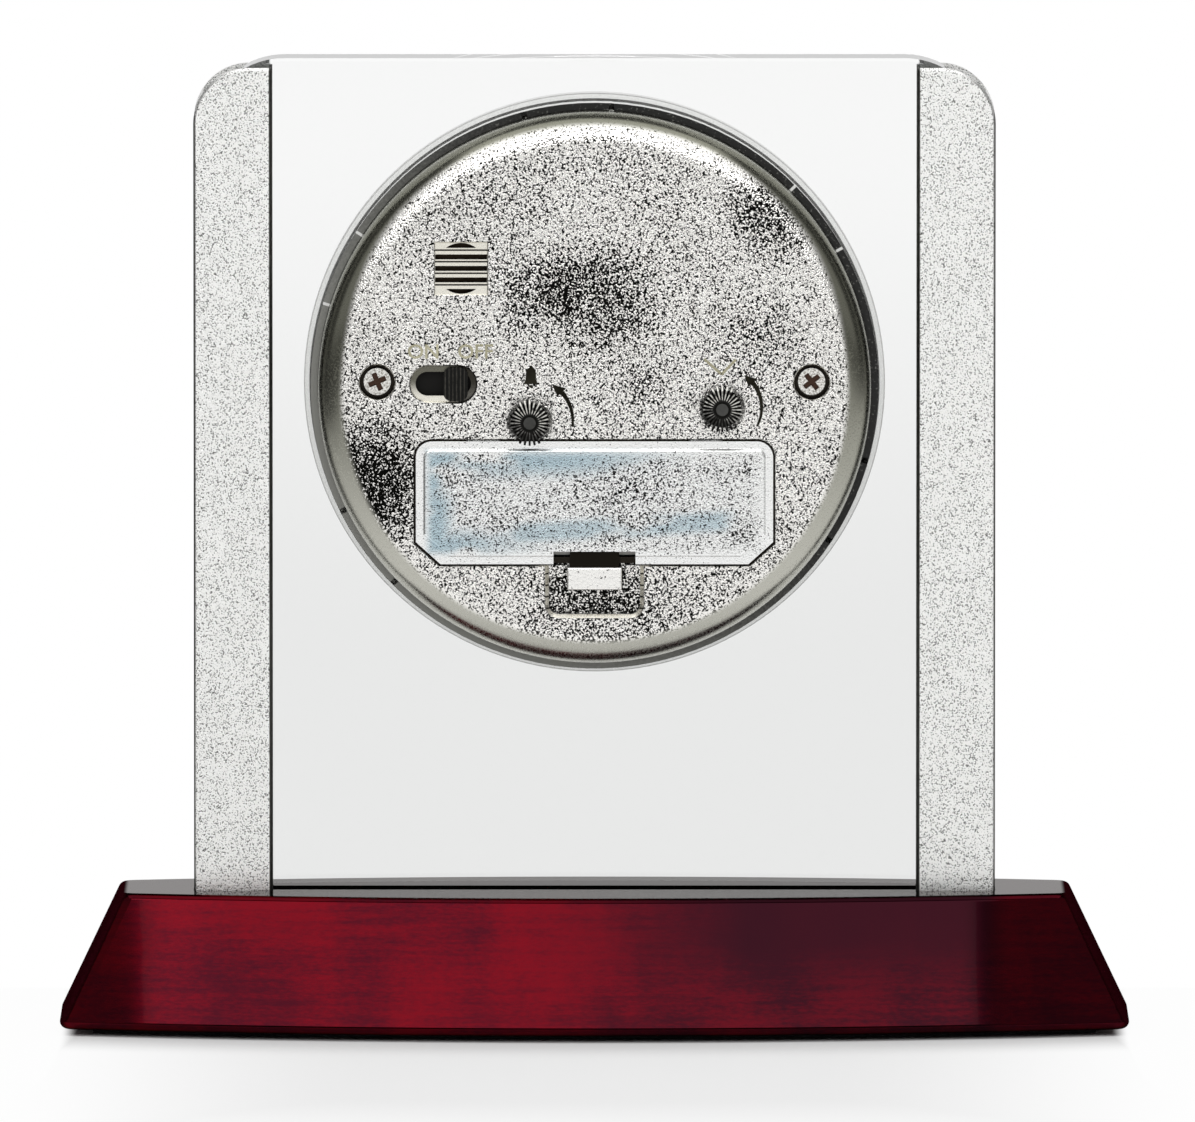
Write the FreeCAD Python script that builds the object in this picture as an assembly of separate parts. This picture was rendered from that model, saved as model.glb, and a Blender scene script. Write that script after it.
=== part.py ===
"""Desk alarm clock: a glass panel in a bowed wooden base, framed by two metal side posts,
with a round battery clock insert in the glass.

Millimetres. +Z is up, X runs along the base, the dial faces -Y and the case back faces +Y.
The origin is on the table, under the middle of the base. The pieces of the insert are built
about the Y axis, with Z counted from the middle of the dial, and lifted at the end.
"""

import FreeCAD
import Part

import math
import os

# ---------------------------------------------------------------- stand
BASE_LENGTH = 175.0        # along the bottom, before the edges are rounded
BASE_HEIGHT = 22.0
BASE_END_LEAN = 10.4       # each end leans in by this over the height
BASE_TOP_DEPTH = 38.0      # front to back across the middle of the top
BASE_FACE_LEAN = 5.0       # each long face leans in by this over the height
BASE_BOW = 8.5             # the long faces bulge by this between the ends
BASE_CORNER = 3.0          # rounding of the four upright edges
BASE_ROUND = 1.2           # rounding of the edges around top and bottom
FELT_THICKNESS = 1.0
FELT_INSET = 6.0
GLASS_ABOVE_INSERT = 53.3  # top of the glass above the middle of the dial
GLASS_THICKNESS = 9.0
GLASS_CORNER = 13.0
GLASS_BEVEL = 0.5
GLASS_GROOVE = 3.0         # depth of the glass in the base
POST_BELOW_GLASS_TOP = 1.5
POST_FROM_END = 12.06      # from the end of the base's top to the post
POST_WIDTH = 12.75
POST_WEB = 1.6             # behind the edge of the glass
POST_FLANGE = 1.4          # over each face of the glass
POST_CORNER = 9.0
POST_BEVEL = 0.4
POST_SOCKET = 2.0          # depth of the post in the base
GLASS_GAP = 0.08           # between glass and whatever holds it

# ---------------------------------------------------------------- insert case
INSERT_ABOVE_BASE = 82.2   # middle of the dial above the top of the base
CASE_RADIUS = 44.9
CASE_WALL = 1.5
CASE_BACK = 11.5           # outer face of the back, from the middle of the glass
CASE_BACK_WALL = 1.6
CASE_ROUND = 4.6
RECESS_RIM = 0.2           # bevel around each opening in the back
GRIP_THICKNESS = 1.1       # ring between case and glass
GRIP_GAP = 0.05
GRIP_PAIRS = 3             # slots come in pairs
GRIP_PAIR_START = 35.5     # degrees
GRIP_PAIR_SPREAD = 18.0    # degrees between the two slots of a pair
GRIP_SLOT = 0.9
GRIP_SLOT_DEPTH = 5.0
BEZEL_FLANGE = 1.1         # how far the bezel covers the glass around the hole
BEZEL_RISE = 7.8           # in front of the glass
BEZEL_ROUND = 5.0
BEZEL_LIP = 1.8            # how far the front lip reaches over the window
BEZEL_LIP_THICKNESS = 1.0
BEZEL_LIP_BEVEL = 0.5
BEZEL_SEAT_GAP = 0.05      # between flange and glass
BEZEL_STEP = 0.6           # the bezel's cavity is this much narrower than the case's
CAVITY_GAP = 0.1           # around the pieces in the bezel
WINDOW_THICKNESS = 1.5
SURROUND_WIDTH = 1.6
DIAL_THICKNESS = 0.5
DIAL_BEHIND_WINDOW = 3.5

# ---------------------------------------------------------------- case back features
CASE_SCREW_X = 35.2
CASE_SCREW_Z = 1.2
SCREW_WELL = 2.85          # radius
SCREW_WELL_DEPTH = 3.1
SCREW_HEAD = 2.33          # radius
SCREW_HEAD_HEIGHT = 1.6
SCREW_SHANK = 1.2          # radius
SCREW_LENGTH = 8.5
SCREW_GAP = 0.1
SCREW_BOSS_WALL = 0.8
DOOR_LENGTH = 57.9
DOOR_HEIGHT = 20.0
DOOR_TOP = -8.4            # from the middle of the dial
DOOR_RECESS = 1.0          # depth of the door's seat in the case back
DOOR_GAP = 0.25
DOOR_SEAT_GAP = 0.1
DOOR_TOP_CORNER = 2.6
DOOR_CLIPPED_X = 4.0       # the clipped lower corners
DOOR_CLIPPED_Z = 3.6
PILLOW_RISE = 0.6
PILLOW_INSET = 1.2
PILLOW_ROUND = 0.45
HOOK_X = 18.0              # the door's two hooks
HOOK_WIDTH = 5.0
HOOK_THICKNESS = 0.7
HOOK_REACH = 1.1
HOOK_ROOT = 0.9
LATCH_NOTCH_WIDTH = 13.3
LATCH_NOTCH_HEIGHT = 2.1
LATCH_WIDTH = 8.9
LATCH_TOP = 0.5            # finger tab below the door's lower edge
LATCH_HEIGHT = 3.7
LATCH_PROUD = 0.3
LATCH_STEM_WIDTH = 8.0
LATCH_STEM_THICKNESS = 0.8
LATCH_STEM_REACH = 3.4     # behind the door, above its lower edge
LATCH_TRAVEL_GAP = 0.1
POCKET_WIDTH = 14.8
POCKET_HEIGHT = 8.2
POCKET_DEPTH = 2.9
POCKET_CORNER = 1.6
POCKET_WALL = 1.0
POCKET_RIM = 0.7           # bevel around the pocket's mouth
LEDGE_X = 5.1              # the pocket's two ledges, beside the finger tab
LEDGE_HEIGHT = 1.9
LEDGE_DEPTH = 0.8
BAY_LENGTH = 53.0          # holds one AA cell
BAY_HEIGHT = 15.2
BAY_DROP = 2.4             # from the door's top edge to the bay
BAY_WALL = 1.1
BAY_TOP_GAP = 1.0          # between the bay's walls and the case back
GRILLE_X = 21.6
GRILLE_Z = 19.7
GRILLE_SQUARE = 8.4
GRILLE_RECESS = 0.5
GRILLE_HOLE = 4.15         # radius
GRILLE_BARS = 4
GRILLE_BAR = 1.05
BUZZER_RADIUS = 7.0
BUZZER_THICKNESS = 0.4
BUZZER_SEAT = 1.0          # height of its ring seat
BUZZER_SEAT_WALL = 0.8
SWITCH_X = 24.5
SWITCH_Z = 0.9
SWITCH_RECESS_LENGTH = 10.7
SWITCH_RECESS_HEIGHT = 5.9
SWITCH_RECESS_DEPTH = 1.0
SWITCH_SLOT_LENGTH = 9.0
SWITCH_SLOT_HEIGHT = 3.9
SWITCH_TRAVEL = 4.0
SLIDER_WIDTH = 3.9
SLIDER_HEIGHT = 5.5
SLIDER_THICKNESS = 1.3
SLIDER_CORNER = 1.3
SLIDER_RIBS = 5
SLIDER_RIB = 0.36
SLIDER_RIB_HEIGHT = 0.35
SLIDER_STEM_WIDTH = 3.0
SLIDER_STEM_CORNER = 1.0
SLIDER_FOOT_HEIGHT = 5.0
SLIDER_FOOT_THICKNESS = 0.8
SLIDER_GAP = 0.1
WIPER_THICKNESS = 0.2

# ---------------------------------------------------------------- knobs and their shafts
TIME_SHAFT_X = -20.7
TIME_SHAFT_Z = -2.9
ALARM_SHAFT_X = 10.5
ALARM_SHAFT_Z = -5.1
KNOB_RADIUS = 3.7
KNOB_HEIGHT = 3.5
KNOB_LIFT = 0.7            # clear of the case back
KNOB_FINS = 28
KNOB_FIN = 0.34
KNOB_CORE = 3.1            # radius behind the fins
KNOB_BOSS_WALL = 0.4
KNOB_END_RECESS = 0.2
KNOB_FOOT = 0.6            # thickness of the disc that joins the fins
SHAFT_RADIUS = 1.0
SHAFT_HOLE_GAP = 0.2       # in the case back
PIVOT_GAP = 0.06

# ---------------------------------------------------------------- movement plates
FRONT_PLATE = 1.2          # thickness, behind the dial
MIDDLE_PLATE = 0.8
REAR_PLATE = 1.0
MIDDLE_PLATE_DEPTH = 3.1   # space in front of it for the hand-setting wheels
REAR_PLATE_DEPTH = 3.7     # space in front of it for the going train
PLATE_LEFT = -26.0
PLATE_RIGHT = 16.0
PLATE_BOTTOM = -9.2
PLATE_TOP = 15.0
PLATE_CORNER = 2.5
PILLARS = ((-22.2, 8.0), (13.0, 12.5), (13.4, 1.5), (-14.5, -8.0))
PILLAR_RADIUS = 1.2
PLATE_SCREW_SHANK = 0.5
PLATE_SCREW_HEAD = 1.1
PLATE_SCREW_HEAD_HEIGHT = 0.7
PLATE_SCREW_BITE = 2.0     # into the front plate's posts
BLIND_PIVOT = 0.8          # depth of the shafts' ends in the front plate

# ---------------------------------------------------------------- wheels
TOOTH_HEIGHT = 0.80        # above the pitch line, in modules
TOOTH_DEPTH = 1.10         # below the pitch line, in modules
TOOTH_ROOT = 0.50          # width at the root, as part of the pitch
TOOTH_TIP = 0.20           # width at the tip, as part of the pitch
WHEEL_THICKNESS = 0.6
TRAIN_WHEEL_THICKNESS = 0.4
PINION_OVERLAP = 0.1       # a pinion stands past its wheel by this on each side
WHEEL_LAYER = 0.9          # pitch of the hand-setting wheels along the axis
TRAIN_LAYER = 0.8          # pitch of the going train's wheels along the axis
FIRST_LAYER_GAP = 0.3      # from a plate to the first wheel behind it
ALARM_WHEEL_TEETH = 42
ALARM_PINION_TEETH = 16
CANNON_TEETH = 12
MINUTE_WHEEL_TEETH = 36
MINUTE_PINION_TEETH = 10
HOUR_WHEEL_TEETH = 40
SETTING_PINION_TEETH = 22
MOTION_MODULE = 0.4
TRAIN_PINION_TEETH = 8
CENTRE_WHEEL_TEETH = 64
THIRD_WHEEL_TEETH = 60
SECONDS_WHEEL_TEETH = 40
STEP_WHEEL_TEETH = 48
THIRD_DISTANCE = 6.9       # third wheel from the middle
THIRD_DIRECTION = 60.0     # degrees from +X
STEP_DISTANCE = 7.0        # step wheel from the middle
STEP_DIRECTION = 135.0
ROTOR_MODULE = 0.22
ROTOR_DIRECTION = 160.0    # from the step wheel
ARBOR_RADIUS = 0.3
SECONDS_ARBOR = 0.4        # radius
CANNON_PIPE = 0.9          # outer radii of the nested pipes
HOUR_PIPE = 1.45
ALARM_PIPE = 2.05
PIPE_GAP = 0.08
STUB_RADIUS = 0.5          # post of the minute wheel

# ---------------------------------------------------------------- motor and electronics
ROTOR_RADIUS = 1.7
ROTOR_LENGTH = 1.7
ROTOR_FRONT = 0.4          # from the middle plate to the magnet
STATOR_THICKNESS = 0.7
STATOR_LIFT = 0.9          # from the middle plate
STATOR_HOLE_GAP = 0.4
STATOR_LEFT = -24.4
STATOR_RIGHT = -3.4
STATOR_BOTTOM = 4.4
STATOR_TOP = 21.5
STATOR_LEFT_ARM = 4.4
STATOR_RIGHT_ARM = 3.6
STATOR_BAR = 6.6           # height of the bar that holds the rotor
STATOR_NOTCH = 2.6         # relief by the step wheel's arbor
STATOR_SEAT = 1.9          # radius of the seat under the left arm
SEAT_X = -5.2              # seat under the right arm
SEAT_Z = 9.5
SEAT_RADIUS = 1.3
CORE_THICKNESS = 0.6
CORE_HEIGHT = 2.6
CORE_BELOW_TOP = 0.2       # from the stator's arms' ends
SLEEVE_WALL = 0.4
BOBBIN_FLANGE = 0.6
BOBBIN_RADIUS = 2.8
WINDING_RADIUS = 2.45
BOBBIN_GAP = 0.1
BOARD_LEFT = -14.0
BOARD_RIGHT = 31.0
BOARD_BOTTOM = -1.5
BOARD_TOP = 26.0
BOARD_CORNER = 2.0
BOARD_THICKNESS = 0.8
BOARD_LIFT = 1.0           # behind the rear plate
BOARD_SEATS = ((-8.0, 10.0), (8.0, 8.0))
BOARD_SEAT_RADIUS = 1.2
BOARD_POST = (28.0, 15.0)
BOARD_POST_RADIUS = 1.6
QUARTZ_RADIUS = 1.0
QUARTZ_LENGTH = 6.0
QUARTZ_AT = (-4.0, 21.0)
CHIP_RADIUS = 3.0
CHIP_HEIGHT = 1.2
CHIP_AT = (4.0, 14.0)
SWITCH_BODY_LENGTH = 10.4
SWITCH_BODY_HEIGHT = 4.8
CONTACT_THICKNESS = 0.4
CONTACT_HEIGHT = 9.0
CONTACT_DEPTH = 8.0
LEAF_BULGE = 1.3           # how far the sprung contact stands off its wall

# ---------------------------------------------------------------- hands, in clock degrees
HAND_THICKNESS = 0.3
HAND_LAYER = 0.7           # pitch of the hands along the axis
DIAL_TO_HAND = 0.3
HOUR_HAND_LENGTH = 24.0
MINUTE_HAND_LENGTH = 33.0
SECOND_HAND_LENGTH = 36.0
ALARM_HAND_LENGTH = 18.0
HAND_HUB_WALL = 0.9
HOUR_HAND_WIDTH = 2.6
MINUTE_HAND_WIDTH = 2.2
SECOND_HAND_WIDTH = 0.6
ALARM_HAND_WIDTH = 1.4
SECOND_HAND_TAIL = 9.0
SHOWN_HOUR = 10
SHOWN_MINUTE = 10
SHOWN_SECOND = 30
ALARM_HOUR = 7

# ---------------------------------------------------------------- places that follow
BASE_BOTTOM = FELT_THICKNESS
BASE_TOP = BASE_BOTTOM + BASE_HEIGHT
GROOVE_FLOOR = BASE_TOP - GLASS_GROOVE
SOCKET_FLOOR = BASE_TOP - POST_SOCKET
INSERT_HEIGHT = BASE_TOP + INSERT_ABOVE_BASE
GLASS_TOP = INSERT_HEIGHT + GLASS_ABOVE_INSERT
GLASS_FRONT = -GLASS_THICKNESS / 2
GLASS_BACK = GLASS_THICKNESS / 2
HOLE_RADIUS = CASE_RADIUS + GRIP_THICKNESS + 2 * GRIP_GAP
POST_TOP = GLASS_TOP - POST_BELOW_GLASS_TOP
POST_OUTSIDE = BASE_LENGTH / 2 - BASE_END_LEAN - POST_FROM_END
POST_SLOT_END = POST_OUTSIDE - POST_WEB
POST_INSIDE = POST_OUTSIDE - POST_WIDTH
GLASS_HALF = POST_SLOT_END - GLASS_GAP
POST_HALF_DEPTH = GLASS_BACK + GLASS_GAP + POST_FLANGE
BACK_INSIDE = CASE_BACK - CASE_BACK_WALL
DOOR_BOTTOM = DOOR_TOP - DOOR_HEIGHT
DOOR_SEAT = CASE_BACK - DOOR_RECESS
DOOR_SEAT_BOTTOM = DOOR_BOTTOM - DOOR_GAP
POCKET_FLOOR = CASE_BACK - POCKET_DEPTH
BAY_TOP = DOOR_TOP - BAY_DROP
BAY_BOTTOM = BAY_TOP - BAY_HEIGHT
WINDOW_FRONT = GLASS_FRONT - BEZEL_RISE + BEZEL_LIP_THICKNESS
WINDOW_BACK = WINDOW_FRONT + WINDOW_THICKNESS
DIAL_FRONT = WINDOW_BACK + DIAL_BEHIND_WINDOW
DIAL_BACK = DIAL_FRONT + DIAL_THICKNESS
PLATE_FRONT = DIAL_BACK
PLATE_BACK = PLATE_FRONT + FRONT_PLATE
BEZEL_CAVITY = CASE_RADIUS - CASE_WALL - BEZEL_STEP
CAVITY_PIECE = BEZEL_CAVITY - CAVITY_GAP
MIDDLE_FRONT = PLATE_BACK + MIDDLE_PLATE_DEPTH
MIDDLE_BACK = MIDDLE_FRONT + MIDDLE_PLATE
REAR_FRONT = MIDDLE_BACK + REAR_PLATE_DEPTH
REAR_BACK = REAR_FRONT + REAR_PLATE
BOARD_FRONT = REAR_BACK + BOARD_LIFT
BOARD_BACK = BOARD_FRONT + BOARD_THICKNESS
STATOR_FRONT = MIDDLE_BACK + STATOR_LIFT
STATOR_BACK = STATOR_FRONT + STATOR_THICKNESS
CORE_BACK = STATOR_BACK + CORE_THICKNESS
CORE_MIDDLE = STATOR_BACK + CORE_THICKNESS / 2
CORE_TOP = STATOR_TOP - CORE_BELOW_TOP
CORE_AXIS = CORE_TOP - CORE_HEIGHT / 2
WINDING_LEFT = STATOR_LEFT + STATOR_LEFT_ARM
WINDING_RIGHT = STATOR_RIGHT - STATOR_RIGHT_ARM
KNOB_FRONT = CASE_BACK + KNOB_LIFT
KNOB_BACK = KNOB_FRONT + KNOB_HEIGHT
SLIDER_X = SWITCH_X - SWITCH_TRAVEL / 2
SLIDER_FLOOR = CASE_BACK - SWITCH_RECESS_DEPTH
ALARM_LAYER = PLATE_BACK + FIRST_LAYER_GAP
HOUR_LAYER = ALARM_LAYER + WHEEL_LAYER
MINUTE_LAYER = HOUR_LAYER + WHEEL_LAYER
CENTRE_LAYER = MIDDLE_BACK + FIRST_LAYER_GAP
THIRD_LAYER = CENTRE_LAYER + TRAIN_LAYER
SECONDS_LAYER = THIRD_LAYER + TRAIN_LAYER
STEP_LAYER = SECONDS_LAYER + TRAIN_LAYER
ALARM_HAND_BACK = DIAL_FRONT - DIAL_TO_HAND
HOUR_HAND_BACK = ALARM_HAND_BACK - HAND_LAYER
MINUTE_HAND_BACK = HOUR_HAND_BACK - HAND_LAYER
SECOND_HAND_BACK = MINUTE_HAND_BACK - HAND_LAYER

Y_AXIS = FreeCAD.Vector(0, 1, 0)
ORIGIN = FreeCAD.Vector(0, 0, 0)


# ---------------------------------------------------------------- shapes shared by the pieces
def outline(corners, radii=()):
    """A closed wire through the corners, each rounded by the radius of the same rank."""
    count = len(corners)
    starts = []
    ends = []
    arcs = []
    for rank, corner in enumerate(corners):
        radius = radii[rank] if radii else 0.0
        if radius <= 0:
            starts.append(corner)
            ends.append(corner)
            arcs.append(None)
            continue
        back = (corners[rank - 1] - corner).normalize()
        ahead = (corners[(rank + 1) % count] - corner).normalize()
        half = back.getAngle(ahead) / 2
        reach = radius / math.tan(half)
        middle = corner + (back + ahead).normalize() * (radius / math.sin(half) - radius)
        starts.append(corner + back * reach)
        ends.append(corner + ahead * reach)
        arcs.append(Part.Arc(starts[-1], middle, ends[-1]).toShape())
    edges = []
    for rank in range(count):
        if arcs[rank]:
            edges.append(arcs[rank])
        following = starts[(rank + 1) % count]
        if ends[rank].distanceToPoint(following) > 1e-6:
            edges.append(Part.makeLine(ends[rank], following))
    return Part.Wire(edges)


def plate(corners, front, back, radii=()):
    """A flat piece with the given (x, z) outline, from one depth to another."""
    wire = outline([FreeCAD.Vector(x, front, z) for x, z in corners], radii)
    return Part.Face(wire).extrude(FreeCAD.Vector(0, back - front, 0))


def block(left, right, front, back, bottom, top, radius=0.0):
    """A box, with its four edges along Y rounded where a radius is given."""
    corners = ((left, bottom), (right, bottom), (right, top), (left, top))
    return plate(corners, front, back, (radius,) * 4)


def disc(radius, front, back, x=0.0, z=0.0):
    """A cylinder along Y."""
    return Part.makeCylinder(radius, back - front, FreeCAD.Vector(x, front, z), Y_AXIS)


def ring(outer, inner, front, back, x=0.0, z=0.0):
    """A tube along Y."""
    return disc(outer, front, back, x, z).cut(disc(inner, front, back, x, z))


def turned(corners, radii=()):
    """A solid of revolution about Y, from (radius, depth) corners."""
    wire = outline([FreeCAD.Vector(radius, depth, 0) for radius, depth in corners], radii)
    return Part.Face(wire).revolve(ORIGIN, Y_AXIS, 360)


def stadium(length, height, front, back, x, z):
    """A slot with round ends, lying along X."""
    return block(x - length / 2, x + length / 2, front, back,
                 z - height / 2, z + height / 2, height / 2)


def save(name, shape, lift=0.0):
    """Writes one piece, raised to its place."""
    placed = shape.copy()
    placed.translate(FreeCAD.Vector(0, 0, lift))
    placed.exportStep("parts/" + name + ".step")


def polar(distance, degrees, start=(0.0, 0.0)):
    """The (x, z) point at a distance and direction from another."""
    angle = math.radians(degrees)
    return (start[0] + distance * math.cos(angle), start[1] + distance * math.sin(angle))


# ---------------------------------------------------------------- gearing
def gear(teeth, module, front, back, phase=0.0, at=(0.0, 0.0)):
    """A spur gear with straight flanks and backlash; phase is the angle of one tooth."""
    pitch = 2 * math.pi / teeth
    radius = teeth * module / 2
    root = radius - TOOTH_DEPTH * module
    tip = radius + TOOTH_HEIGHT * module
    section = ((root, -TOOTH_ROOT), (tip, -TOOTH_TIP), (tip, TOOTH_TIP), (root, TOOTH_ROOT))
    points = []
    for tooth in range(teeth):
        for distance, share in section:
            angle = phase + (tooth + share / 2) * pitch
            points.append((at[0] + distance * math.cos(angle), at[1] + distance * math.sin(angle)))
    return plate(points, front, back)


def direction(start, end):
    """The angle of the line from one (x, z) point to another."""
    return math.atan2(end[1] - start[1], end[0] - start[0])


def spacing(start, end):
    """The distance between two (x, z) points."""
    return math.hypot(end[0] - start[0], end[1] - start[1])


def module_for(start, end, teeth, other_teeth):
    """The module that makes two wheels mesh across a given distance."""
    return 2 * spacing(start, end) / (teeth + other_teeth)


def meshed(teeth, phase, other_teeth, towards):
    """The phase that puts the other wheel in mesh with this one, in the given direction."""
    return towards + math.pi + (teeth * (towards - phase) + math.pi) / other_teeth


def third_corner(start, end, from_start, from_end):
    """The upper (x, z) point at the given distances from two others."""
    base = spacing(start, end)
    along = (from_start ** 2 - from_end ** 2 + base ** 2) / (2 * base)
    lift = -math.sqrt(from_start ** 2 - along ** 2)
    angle = direction(start, end)
    return (start[0] + along * math.cos(angle) - lift * math.sin(angle),
            start[1] + along * math.sin(angle) + lift * math.cos(angle))


CENTRE = (0.0, 0.0)
TIME_SHAFT = (TIME_SHAFT_X, TIME_SHAFT_Z)
ALARM_SHAFT = (ALARM_SHAFT_X, ALARM_SHAFT_Z)
CANNON_TO_MINUTE = MOTION_MODULE * (CANNON_TEETH + MINUTE_WHEEL_TEETH) / 2
MINUTE_TO_SETTING = MOTION_MODULE * (MINUTE_WHEEL_TEETH + SETTING_PINION_TEETH) / 2
MINUTE_AT = third_corner(CENTRE, TIME_SHAFT, CANNON_TO_MINUTE, MINUTE_TO_SETTING)
THIRD_AT = polar(THIRD_DISTANCE, THIRD_DIRECTION)
STEP_AT = polar(STEP_DISTANCE, STEP_DIRECTION)
ROTOR_DISTANCE = ROTOR_MODULE * (TRAIN_PINION_TEETH + STEP_WHEEL_TEETH) / 2
ROTOR_AT = polar(ROTOR_DISTANCE, ROTOR_DIRECTION, STEP_AT)


def pinion(teeth, module, layer, thickness, phase, at):
    """A gear that stands a little past its mating wheel on both sides."""
    return gear(teeth, module, layer - PINION_OVERLAP, layer + thickness + PINION_OVERLAP, phase, at)


# ---------------------------------------------------------------- stand
def bowed_prism(bottom, top, lean, inset=0.0):
    """A block with leaning ends, between two cones that make its bowed long faces."""
    height = top - bottom
    share = height / BASE_HEIGHT
    half_bottom = BASE_LENGTH / 2 - inset
    half_top = half_bottom - BASE_END_LEAN * share * lean
    corners = ((-half_bottom, bottom), (half_bottom, bottom), (half_top, top), (-half_top, top))
    middle = BASE_TOP_DEPTH / 2 + BASE_FACE_LEAN - inset
    shape = plate(corners, -middle, middle)
    half_length = BASE_LENGTH / 2 - BASE_END_LEAN
    bow_radius = (half_length ** 2 + BASE_BOW ** 2) / (2 * BASE_BOW) + BASE_FACE_LEAN - inset
    top_radius = bow_radius - BASE_FACE_LEAN * share * lean
    for side in (-1, 1):
        centre = FreeCAD.Vector(0, side * (bow_radius - middle), bottom)
        if lean:
            bow = Part.makeCone(bow_radius, top_radius, height, centre)
        else:
            bow = Part.makeCylinder(bow_radius, height, centre)
        shape = shape.common(bow)
    return shape


def base_block():
    """The wooden block, leaning in on all sides, with the groove and sockets in its top."""
    block_shape = bowed_prism(BASE_BOTTOM, BASE_TOP, 1)
    upright = [edge for edge in block_shape.Edges if edge.BoundBox.ZLength > BASE_HEIGHT / 2]
    block_shape = block_shape.makeFillet(BASE_CORNER, upright)
    level = [edge for edge in block_shape.Edges if edge.BoundBox.ZLength < BASE_HEIGHT / 2]
    block_shape = block_shape.makeFillet(BASE_ROUND, level)
    groove_half = GLASS_BACK + GLASS_GAP
    groove = block(-POST_SLOT_END, POST_SLOT_END, -groove_half, groove_half, GROOVE_FLOOR, BASE_TOP)
    for side in (-1, 1):
        edges = sorted((side * (POST_INSIDE - GLASS_GAP), side * (POST_OUTSIDE + GLASS_GAP)))
        depth = POST_HALF_DEPTH + GLASS_GAP
        groove = groove.fuse(block(*edges, -depth, depth, SOCKET_FLOOR, BASE_TOP))
    return block_shape.cut(groove)


def felt_pad():
    """The felt sheet under the block."""
    return bowed_prism(0, FELT_THICKNESS, 0, FELT_INSET)


def glass_panel():
    """The clear panel with rounded top corners, polished bevels and the insert's hole."""
    half = GLASS_HALF
    corners = ((-half, GROOVE_FLOOR), (half, GROOVE_FLOOR), (half, GLASS_TOP), (-half, GLASS_TOP))
    panel = plate(corners, GLASS_FRONT, GLASS_BACK, (0, 0, GLASS_CORNER, GLASS_CORNER))
    rims = [edge for edge in panel.Edges
            if edge.BoundBox.YLength < 1e-6 and edge.BoundBox.ZMax > GROOVE_FLOOR + GLASS_BEVEL]
    panel = panel.makeChamfer(GLASS_BEVEL, rims)
    return panel.cut(disc(HOLE_RADIUS, GLASS_FRONT, GLASS_BACK, 0, INSERT_HEIGHT))


def side_post(side):
    """A U-shaped post over one edge of the glass, round at its outer top corner."""
    inside = side * POST_INSIDE
    outside = side * POST_OUTSIDE
    corners = ((inside, SOCKET_FLOOR), (outside, SOCKET_FLOOR), (outside, POST_TOP),
               (inside, POST_TOP))
    post = plate(corners, -POST_HALF_DEPTH, POST_HALF_DEPTH, (0, 0, POST_CORNER, 0))
    long_edges = [edge for edge in post.Edges
                  if edge.BoundBox.ZLength > (POST_TOP - SOCKET_FLOOR) / 2]
    post = post.makeChamfer(POST_BEVEL, long_edges)
    slot = sorted((side * (POST_INSIDE - POST_BEVEL), side * POST_SLOT_END))
    half = GLASS_BACK + GLASS_GAP
    return post.cut(block(*slot, -half, half, SOCKET_FLOOR, POST_TOP))


# ---------------------------------------------------------------- insert, front to back
def bezel_ring():
    """The rounded front ring; its flange covers the edge of the glass's hole."""
    front = GLASS_FRONT - BEZEL_RISE
    outer = HOLE_RADIUS + BEZEL_FLANGE
    lip = BEZEL_CAVITY - BEZEL_LIP
    seat = GLASS_FRONT - BEZEL_SEAT_GAP
    corners = ((BEZEL_CAVITY, GLASS_FRONT), (CASE_RADIUS, GLASS_FRONT), (CASE_RADIUS, seat),
               (outer, seat), (outer, front), (lip + BEZEL_LIP_BEVEL, front),
               (lip, front + BEZEL_LIP_BEVEL), (lip, WINDOW_FRONT), (BEZEL_CAVITY, WINDOW_FRONT))
    return turned(corners, (0, 0, 0, 0, BEZEL_ROUND, 0, 0, 0, 0))


def crystal_lens():
    """The flat window."""
    return disc(CAVITY_PIECE, WINDOW_FRONT, WINDOW_BACK)


def dial_surround():
    """The sloping ring between window and dial."""
    inner = CAVITY_PIECE - SURROUND_WIDTH
    return turned(((CAVITY_PIECE, WINDOW_BACK), (CAVITY_PIECE, DIAL_FRONT),
                   (inner - SURROUND_WIDTH / 2, DIAL_FRONT), (inner, WINDOW_BACK)))


def dial_plate():
    """The dial, with the hole for the hands' pipes."""
    return ring(CAVITY_PIECE, ALARM_PIPE + PIPE_GAP, DIAL_FRONT, DIAL_BACK)


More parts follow.
